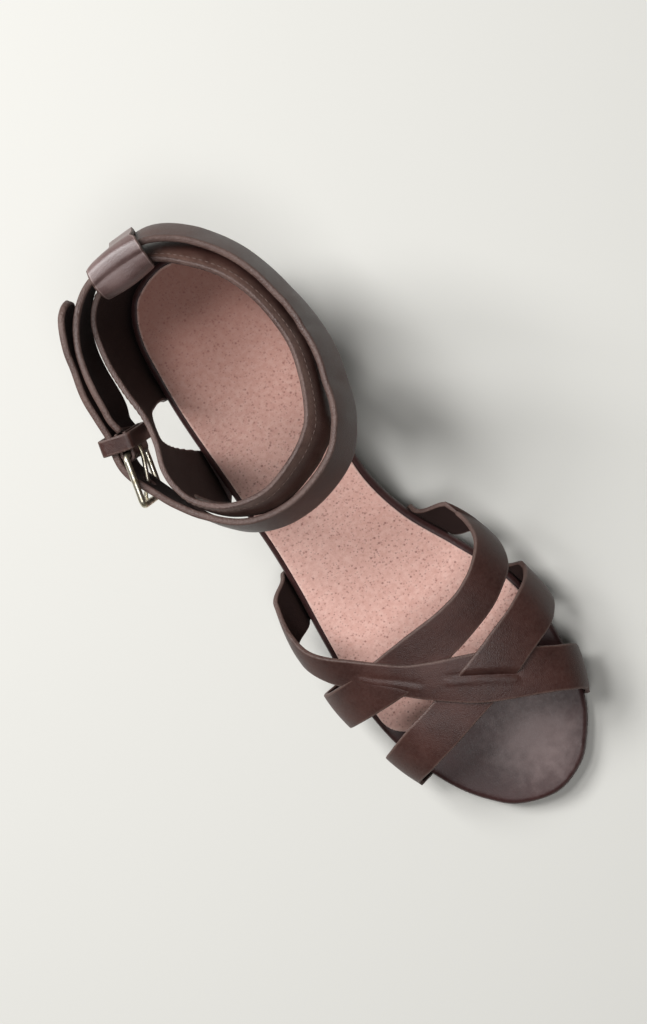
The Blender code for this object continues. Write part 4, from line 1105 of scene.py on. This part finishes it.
def makeHeelLoop():
    rows = through(loopPath, 5)
    rows["width"] = np.clip(rows["width"], 9.9, 21.6)
    part = np.linspace(-0.5, 0.5, 15)[None, :]
    across = part * rows["width"][:, None]
    run = rows["run"][:, None] + rows["curve"][:, None] * across ** 2
    grid = place(rows["across"][:, None] + across, run, rows["height"][:, None] + 0 * across)
    return ribbon("heelLoop", grid, loopSizes["thickness"], loopSizes["edge"])


# The loop's paler copy of the strap leather is painted highlight: the window light's sheen on the loop
# painted into its colour and edges.
paintedLightLoopLeather = leatherMaterial("paintedLightLoopLeather", strapLook | {
    "dark": rgb(78, 55, 52), "light": rgb(104, 81, 78), "worn and lit": rgb(152, 132, 128),
    "shine": 0.8, "roughness": 0.4, "coat": 0.25, "edge wear and light": 0.8,
})
heelLoop = makeHeelLoop()
heelLoop.data.materials[0] = paintedLightLoopLeather
finish(heelLoop, "strap_leather")

# Ankle strap, cut flat with its holes and wrapped round the ankle
ankleRows = table(
    "across run height lean width",
    (-35.3, 52.0, 103.5, 9, 16), (-35.8, 47.5, 104.5, 11, 16), (-34.7, 43.0, 105.4, 16, 16),
    (-33.9, 37.0, 106.4, 17, 16), (-32.9, 29.0, 107.0, 13, 16), (-30.9, 20.6, 106.8, 8, 16),
    (-26.8, 12.0, 106.0, 1, 16), (-18.6, 3.8, 104.1, -7, 16), (-6.0, 0.2, 104.0, -16, 16),
    (8.1, -0.3, 101.6, -24, 16), (19.8, 7.3, 99.0, -21, 16), (28.6, 19.5, 97.4, -17, 16),
    (33.4, 31.9, 96.4, -14, 16), (35.8, 44.7, 96.0, -14, 16), (36.8, 53.5, 96.0, -15, 16),
    (36.8, 61.2, 96.2, -17, 16), (35.8, 69.6, 96.6, -18, 16), (33.4, 78.4, 97.0, -19, 16),
    (29.8, 88.8, 97.4, -19, 16), (20.6, 100.4, 97.3, -20, 16), (5.6, 106.3, 97.0, -18, 16),
    (-8.0, 106.8, 97.0, -15, 16), (-20.0, 102.4, 97.0, -10, 16), (-29.4, 93.0, 97.2, -3, 16),
    (-35.2, 83.0, 97.8, 4, 16), (-38.4, 75.4, 98.8, 7, 16), (-41.2, 68.2, 100.1, 9, 16),
    (-42.3, 63.0, 101.2, 9, 16), (-41.7, 57.8, 102.2, 9, 16), (-40.0, 52.8, 103.4, 9, 16),
    (-38.9, 44.5, 105.2, 13, 16), (-37.9, 36.0, 107.0, 15, 16), (-35.6, 27.0, 108.4, 13, 16),
    (-33.7, 18.3, 109.4, 9, 16), (-30.7, 10.8, 110.0, 5, 15.4), (-28.2, 7.2, 110.0, 3, 13),
    (-26.4, 5.4, 110.0, 2, 8), (-25.7, 4.8, 110.0, 0, 4),
)
ankleSizes = {"thickness": 2.5, "edge": 0.85, "crown": 0.35, "hole": 1.0, "hole spacing": 8.0, "holes": 5}
ankleSteps = 8


def ankleLine():
    # middle line with lengths, upward direction and width at each step
    rows = through(ankleRows, ankleSteps)
    middle = place(rows["across"], rows["run"], rows["height"])
    plan = np.gradient(middle[:, :2], axis=0)
    plan /= np.linalg.norm(plan, axis=1, keepdims=True)
    outward = np.stack([-plan[:, 1], plan[:, 0], 0 * plan[:, 0]], axis=1)
    lean = np.radians(rows["lean"])[:, None]
    up = np.array([0.0, 0.0, 1.0]) * np.cos(lean) + outward * np.sin(lean)
    length = lengths(middle) / mm
    return middle, up, outward, length, rows["width"]


ankleMiddle, ankleUp, ankleOut, ankleLength, ankleWidth = ankleLine()


def alongAnkle(values, length):
    values = np.asarray(values)
    if values.ndim == 1:
        return np.interp(length, ankleLength, values)
    return np.stack([np.interp(length, ankleLength, values[:, k]) for k in range(3)], axis=-1)


def rowLength(order):
    # length of the strap at one of its rows, counted from the buckle end
    return float(np.interp(order * ankleSteps, np.arange(len(ankleLength)), ankleLength))


ankleDents = table(  # soft creases: place as a row, height on the strap, reach along and up, depth
    "row up reachAlong reachUp depth",
    (14.6, 3.0, 2.2, 7.0, -0.55), (13.2, 2.0, 3.0, 7.0, 0.35), (17.0, 1.0, 2.6, 6.0, -0.45),
    (18.2, 3.0, 3.0, 6.0, 0.4), (10.4, 0.0, 3.4, 7.0, -0.3), (5.6, 1.0, 3.0, 6.0, -0.35),
    (20.5, -1.0, 3.5, 6.0, -0.3), (23.0, 2.0, 2.6, 7.0, -0.35), (31.0, -2.0, 3.0, 6.0, -0.3),
    (32.6, 2.0, 2.4, 6.0, 0.25), (2.5, 0.0, 2.6, 6.0, -0.3),
)


def anklePoint(length, across):
    width = alongAnkle(ankleWidth, length)
    lift = ankleSizes["crown"] * (1.0 - np.clip(2 * across / width, -1, 1) ** 2)
    for dent in ankleDents:
        far = ((length - rowLength(dent["row"])) / dent["reachAlong"]) ** 2
        lift = lift + dent["depth"] * np.exp(-far - ((across - dent["up"]) / dent["reachUp"]) ** 2)
    out = alongAnkle(ankleOut, length)
    up = alongAnkle(ankleUp, length)
    return alongAnkle(ankleMiddle, length) + up * (across * mm)[..., None] + out * (lift * mm)[..., None]


def circle(x, y, reach, count=16):
    angle = np.linspace(0.0, 2 * math.pi, count + 1)[:-1]
    return np.stack([x + reach * np.cos(angle), y + reach * np.sin(angle)], axis=1)


def makeAnkleStrap(holes):
    total = ankleLength[-1]
    at = np.arange(0.0, total + 0.5, 1.0)
    at[-1] = total
    half = alongAnkle(ankleWidth, at) * 0.5
    ends = np.linspace(-1.0, 1.0, 17)[1:-1]
    border = np.vstack([
        np.stack([at, -half], axis=1), np.stack([0 * ends[5:-5] + total, ends[5:-5] * half[-1]], axis=1),
        np.stack([at, half], axis=1)[::-1], np.stack([0 * ends, -ends * half[0]], axis=1),
    ])
    verts, tris = cutPattern(border, holes, 1.6, 1.05)
    points = anklePoint(verts[:, 0], verts[:, 1])
    return leatherSheet(
        "ankleStrap", points, verts * mm, tris, ankleSizes["thickness"], ankleSizes["edge"], squareness=0.75
    )


buckle = {"across": -40.1, "run": 67.6, "height": 100.2, "yaw": 15.9, "pitch": 11.5, "lean": 9.0,
          "length": 20.4, "tall": 22.0, "wire": 2.3, "corner": 2.0, "prong": 1.6}
hinge = buckle["wire"] * 0.5 - buckle["length"] * 0.5


def buckleFrame():
    pitch, yaw = math.radians(buckle["pitch"]), math.radians(buckle["yaw"])
    toeward = np.array([-math.sin(yaw), -math.cos(yaw), 0.0])
    outward = np.array([-math.cos(yaw), math.sin(yaw), 0.0])
    high = np.array([0.0, 0.0, 1.0])
    tilted = toeward * math.cos(pitch) - high * math.sin(pitch)
    upward = high * math.cos(pitch) + toeward * math.sin(pitch)
    lean = math.radians(buckle["lean"])
    leaned = upward * math.cos(lean) + outward * math.sin(lean)
    away = outward * math.cos(lean) - upward * math.sin(lean)
    return place(buckle["across"], buckle["run"], buckle["height"]), tilted, leaned, away


def onBuckle(along, up, outward):
    # a place in the buckle's own frame: toward the toe, up the frame, away from the foot
    sameShape = np.broadcast_arrays(along, up, outward)
    along, up, outward = (np.asarray(v, float)[..., None] * mm for v in sameShape)
    middle, tilted, upward, out = buckleFrame()
    return middle + tilted * along + upward * up + out * outward


def prongPath():
    turn = buckle["wire"] * 0.5 + buckle["prong"] * 0.5 + 0.3
    angle = np.radians(np.arange(60.0, 271.0, 10.0))
    hook = list(zip(hinge + turn * np.cos(angle), turn * np.sin(angle)))
    straight = through(table(
        "along outward",
        (hinge + 3.0, -turn), (-hinge * 0.35, -0.4), (-hinge - 2.5, turn - 0.4), (-hinge + 0.4, turn),
        (-hinge + 1.5, turn - 0.1),
    ), 5)
    line = np.array(hook + list(zip(straight["along"], straight["outward"])))
    return onBuckle(line[:, 0], 0.0, line[:, 1])


def nearestOnAnkle(point, low, high):
    # pattern place of the strap's nearest point between two of its rows
    length = np.arange(rowLength(low), rowLength(high), 0.2)[:, None]
    across = np.arange(-7.0, 7.1, 0.2)[None, :]
    length, across = np.broadcast_arrays(length, across)
    far = np.linalg.norm(anklePoint(length, across) - point, axis=-1)
    best = np.unravel_index(np.argmin(far), far.shape)
    return float(length[best]), float(across[best]), float(far[best])


def strapHoles():
    hits = [nearestOnAnkle(point, 24.0, 29.0) for point in prongPath()[22:]]
    first = min(hits, key=lambda hit: hit[2])
    oval = circle(0.0, 0.0, 1.0, 20) * np.array([1.9, 1.25]) + np.array(first[:2])
    holes = [oval]
    spacing = ankleSizes["hole spacing"]
    for number in range(1, ankleSizes["holes"]):
        holes.append(circle(first[0] + spacing * (number + 2), first[1], ankleSizes["hole"]))
    return holes


ankleStrap = makeAnkleStrap(strapHoles())
finish(ankleStrap, "strap_leather", "ankle_strap")

foldSizes = {"thickness": 1.2, "half width": 7.6, "slot back": 3.4, "slot half": 1.7, "edge": 0.45}


def makeFold():
    turn = buckle["wire"] * 0.5 + 0.3 + foldSizes["thickness"] * 0.5
    angle = np.radians(np.arange(90.0, -91.0, -10.0))
    path = [(hinge - 8.2, 1.6), (hinge - 5.6, 1.7), (hinge - 2.8, turn)]
    path += list(zip(hinge + turn * np.cos(angle), turn * np.sin(angle)))
    path += [(hinge - 2.8, -turn), (hinge - 5.6, -1.7), (hinge - 8.2, -1.6)]
    path = evenly(np.array(path), 0.5, closed=False)
    length = lengths(path)
    total, half = length[-1], foldSizes["half width"]
    slotStart = float(np.interp(hinge - foldSizes["slot back"], path[:20, 0], length[:20]))
    sides = np.arange(0.0, total, 0.8)
    wide = np.arange(-half, half, 0.8)
    border = np.vstack([
        np.stack([sides, 0 * sides - half], axis=1), np.stack([0 * wide + total, wide], axis=1),
        np.stack([total - sides, 0 * sides + half], axis=1), np.stack([0 * wide, -wide], axis=1),
    ])
    slot = evenly(np.array([
        (slotStart, -foldSizes["slot half"]), (total - slotStart, -foldSizes["slot half"]),
        (total - slotStart, foldSizes["slot half"]), (slotStart, foldSizes["slot half"]),
    ]), 0.8)
    verts, tris = cutPattern(border, [slot], 0.9, 0.6)
    along = np.interp(verts[:, 0], length, path[:, 0])
    outward = np.interp(verts[:, 0], length, path[:, 1])
    points = onBuckle(along, verts[:, 1], outward)
    return leatherSheet("strapFold", points, verts * mm, tris, foldSizes["thickness"], foldSizes["edge"])


fold = makeFold()
finish(fold, "strap_leather")

keeperSizes = {"width": 6.0, "thickness": 1.4, "back": 4.9, "inside": -3.0, "outside": 6.8, "spare": 1.1,
               "corner": 1.2, "edge": 0.5}


def makeKeeper():
    size = keeperSizes
    low, high = size["inside"] - size["thickness"] * 0.5, size["outside"] + size["thickness"] * 0.5
    tall = 8.0 + size["spare"] + size["thickness"] * 0.5
    corner = size["corner"]
    path = []
    for index, (outward, up) in enumerate(((high, tall), (low, tall), (low, -tall), (high, -tall))):
        for step in range(7):
            angle = math.radians(90.0 * index + 15.0 * step)
            inward = outward - math.copysign(corner, outward - (low + high) * 0.5)
            path.append((inward + corner * math.cos(angle),
                         up - math.copysign(corner, up) + corner * math.sin(angle)))
    path = evenly(np.array(path), 0.6)
    part = np.linspace(-0.5, 0.5, 9)[None, :] * size["width"]
    middle = hinge - size["back"]
    grid = onBuckle(middle + part + 0 * path[:, :1], path[:, 1:] + 0 * part, path[:, :1] + 0 * part)
    return ribbon("strapKeeper", grid, size["thickness"], size["edge"], closed=True)


keeper = makeKeeper()
finish(keeper, "strap_leather", "keeper")
print("ankle strap ready")


def bar(name, points, width, closed, radii=None):
    # round bar along a line of points
    curve = bpy.data.curves.new(name, "CURVE")
    curve.dimensions = "3D"
    curve.bevel_depth = width * 0.5 * mm
    curve.bevel_resolution = 6
    curve.use_fill_caps = True
    spline = curve.splines.new("POLY")
    spline.points.add(len(points) - 1)
    for index, (target, point) in enumerate(zip(spline.points, points)):
        target.co = (*point, 1.0)
        target.radius = 1.0 if radii is None else float(radii[index])
    spline.use_cyclic_u = closed
    guide = shown(name + "Guide", curve)
    graph = bpy.context.evaluated_depsgraph_get()
    mesh = bpy.data.meshes.new_from_object(guide.evaluated_get(graph))
    bpy.data.objects.remove(guide)
    piece = shown(name, mesh)
    outwards(piece, 0.00001)
    smooth(piece, 60)
    piece.data.materials.clear()
    piece.data.materials.append(agedBrass)
    return piece


def framePath():
    reach, tall = (buckle["length"] - buckle["wire"]) * 0.5, (buckle["tall"] - buckle["wire"]) * 0.5
    points = []
    for index, (side, top) in enumerate(((1, 1), (-1, 1), (-1, -1), (1, -1))):
        angle = np.radians(90.0 * index + np.arange(0.0, 91.0, 9.0))
        along = side * (reach - buckle["corner"]) + buckle["corner"] * np.cos(angle)
        up = top * (tall - buckle["corner"]) + buckle["corner"] * np.sin(angle)
        points.append(onBuckle(along, up, 0.0))
    return np.concatenate(points)


frameBar = bar("buckleFrame", framePath(), buckle["wire"], True)
finish(frameBar, "buckle_metal", "buckle_frame")
prongLine = prongPath()
tip = np.clip((np.arange(len(prongLine))[::-1] + 0.6) / 2.5, 0.35, 1.0)
prongBar = bar("buckleProng", prongLine, buckle["prong"], False, tip)
finish(prongBar, "buckle_metal", "buckle_prong")
print("buckle ready")


def stitchTree():
    # A row of stitches along an edge line, laid end to end with gaps
    tree = bpy.data.node_groups.new("stitchRow", "GeometryNodeTree")
    face = tree.interface
    face.new_socket("Geometry", in_out="INPUT", socket_type="NodeSocketGeometry")
    for label in ("Spacing", "Stitch Length", "Thread Width"):
        face.new_socket(label, in_out="INPUT", socket_type="NodeSocketFloat")
    face.new_socket("Thread", in_out="INPUT", socket_type="NodeSocketMaterial")
    face.new_socket("Geometry", in_out="OUTPUT", socket_type="NodeSocketGeometry")
    start, end = tree.nodes.new("NodeGroupInput"), tree.nodes.new("NodeGroupOutput")
    line = linked(tree, "GeometryNodeMeshToCurve", {"Mesh": start.outputs["Geometry"]})
    spaced = linked(tree, "GeometryNodeResampleCurve", {"Curve": line.outputs[0]}, mode="LENGTH")
    tree.links.new(start.outputs["Spacing"], spaced.inputs["Length"])
    tangent = linked(tree, "GeometryNodeInputTangent")
    turned = linked(tree, "FunctionNodeAlignRotationToVector", {"Vector": tangent.outputs[0]}, axis="X")
    bead = linked(tree, "GeometryNodeMeshUVSphere", {"Segments": 10, "Rings": 7, "Radius": 0.5})
    size = linked(tree, "ShaderNodeCombineXYZ", {"X": start.outputs["Stitch Length"],
                                                 "Y": start.outputs["Thread Width"],
                                                 "Z": start.outputs["Thread Width"]})
    laid = linked(tree, "GeometryNodeInstanceOnPoints", {
        "Points": spaced.outputs[0], "Instance": bead.outputs["Mesh"], "Rotation": turned.outputs[0],
        "Scale": size.outputs[0],
    })
    real = linked(tree, "GeometryNodeRealizeInstances", {"Geometry": laid.outputs[0]})
    soft = linked(tree, "GeometryNodeSetShadeSmooth", {"Geometry": real.outputs[0]})
    coloured = linked(tree, "GeometryNodeSetMaterial", {"Geometry": soft.outputs[0]})
    tree.links.new(start.outputs["Thread"], coloured.inputs["Material"])
    tree.links.new(coloured.outputs[0], end.inputs["Geometry"])
    return tree


stitchGroup = stitchTree()


def stitchRow(name, points, closed=False, spacing=2.3, length=1.7, width=0.42):
    mesh = bpy.data.meshes.new(name)
    count = len(points)
    edges = [(i, (i + 1) % count) for i in range(count if closed else count - 1)]
    mesh.from_pydata([tuple(p) for p in points], edges, [])
    piece = shown(name, mesh)
    modifier = piece.modifiers.new("stitches", "NODES")
    modifier.node_group = stitchGroup
    items = stitchGroup.interface.items_tree
    sockets = {item.name: item.identifier for item in items if item.in_out == "INPUT"}
    modifier[sockets["Spacing"]] = spacing * mm
    modifier[sockets["Stitch Length"]] = length * mm
    modifier[sockets["Thread Width"]] = width * mm
    modifier[sockets["Thread"]] = thread
    return finish(baked(piece), "strap_leather")


def quarterOutside(order, part, lift):
    # a point over the wall's outer face
    e = 0.02
    point = quarterPoint(order, part)
    sideways = quarterPoint(order + e, part) - quarterPoint(order - e, part)
    upward = quarterPoint(order, part + e * 0.2) - quarterPoint(order, part - e * 0.2)
    out = np.cross(upward, sideways)
    out /= np.linalg.norm(out, axis=-1, keepdims=True)
    centre = place(0.0, 50.0, 0.0)
    away = point - centre
    away[..., 2] = 0.0
    out *= np.sign((out * away).sum(-1, keepdims=True))
    return point + out * lift * mm


ordersRound = np.linspace(0.0, float(len(quarterRows)), 480, endpoint=False)
stitchRow(
    "topLineStitches",
    quarterOutside(ordersRound, 1.0 - 2.2 / quarterSizes["tall"] + 0 * ordersRound,
                   quarterSizes["thickness"] * 0.5 + 0.02),
    closed=True,
)
print("stitches ready")

# Floor, lights and camera
floorMesh = bpy.data.meshes.new("floor")
floorReach = 3.0
floorMesh.from_pydata(
    [(-floorReach, -floorReach, 0), (floorReach, -floorReach, 0), (floorReach, floorReach, 0),
     (-floorReach, floorReach, 0)], [], [(0, 1, 2, 3)]
)
floor = shown("floor", floorMesh)
floorPaint, _, floorShader = freshMaterial("floorPaint")
floorShader.inputs["Base Color"].default_value = rgb(207, 206, 201)
floorShader.inputs["Roughness"].default_value = 0.9
floorShader.inputs["Specular IOR Level"].default_value = 0.1
floor.data.materials.append(floorPaint)


def softLight(name, direction, distance, size, power, aim=(0.0, 0.0, 0.06)):
    light = bpy.data.lights.new(name, "AREA")
    light.shape = "RECTANGLE"
    light.size, light.size_y = size
    light.energy = power
    holder = shown(name, light)
    way = Vector(direction).normalized()
    holder.location = Vector(aim) + way * distance
    holder.rotation_euler = way.to_track_quat("Z", "Y").to_euler()
    return holder


softLight("windowLight", (-0.32, 0.60, 0.73), 1.3, (0.7, 0.5), 16.5)
softLight("topLight", (-0.15, 0.325, 0.93), 1.3, (0.32, 0.28), 6.0)
softLight("frontLight", (0.0, -0.24, 0.97), 1.3, (0.45, 0.35), 5.6)
world = bpy.data.worlds.new("studio")
bpy.context.scene.world = world
world.use_nodes = True
world.node_tree.nodes["Background"].inputs["Color"].default_value = (1.0, 0.985, 0.96, 1.0)
world.node_tree.nodes["Background"].inputs["Strength"].default_value = 0.06
bpy.context.scene.view_settings.view_transform = "Standard"

cameraData = bpy.data.cameras.new("camera")
camera = shown("camera", cameraData)
bpy.context.scene.camera = camera
cameraData.sensor_fit = "HORIZONTAL"
cameraData.sensor_width = 36.0
cameraData.lens = 133.3
cameraData.shift_x = 0.038
cameraData.shift_y = -0.015
cameraData.clip_start = 0.05
cameraPlace = Vector((114.138, -75.206, 910.073)) * mm
cameraRight = Vector((0.81200, -0.55680, -0.17502))
cameraDown = Vector((-0.56653, -0.82401, -0.00689))
cameraAhead = Vector((-0.14038, 0.10475, -0.98454))
turned = Matrix((cameraRight, -cameraDown, -cameraAhead)).transposed().to_4x4()
camera.matrix_world = Matrix.Translation(cameraPlace) @ turned
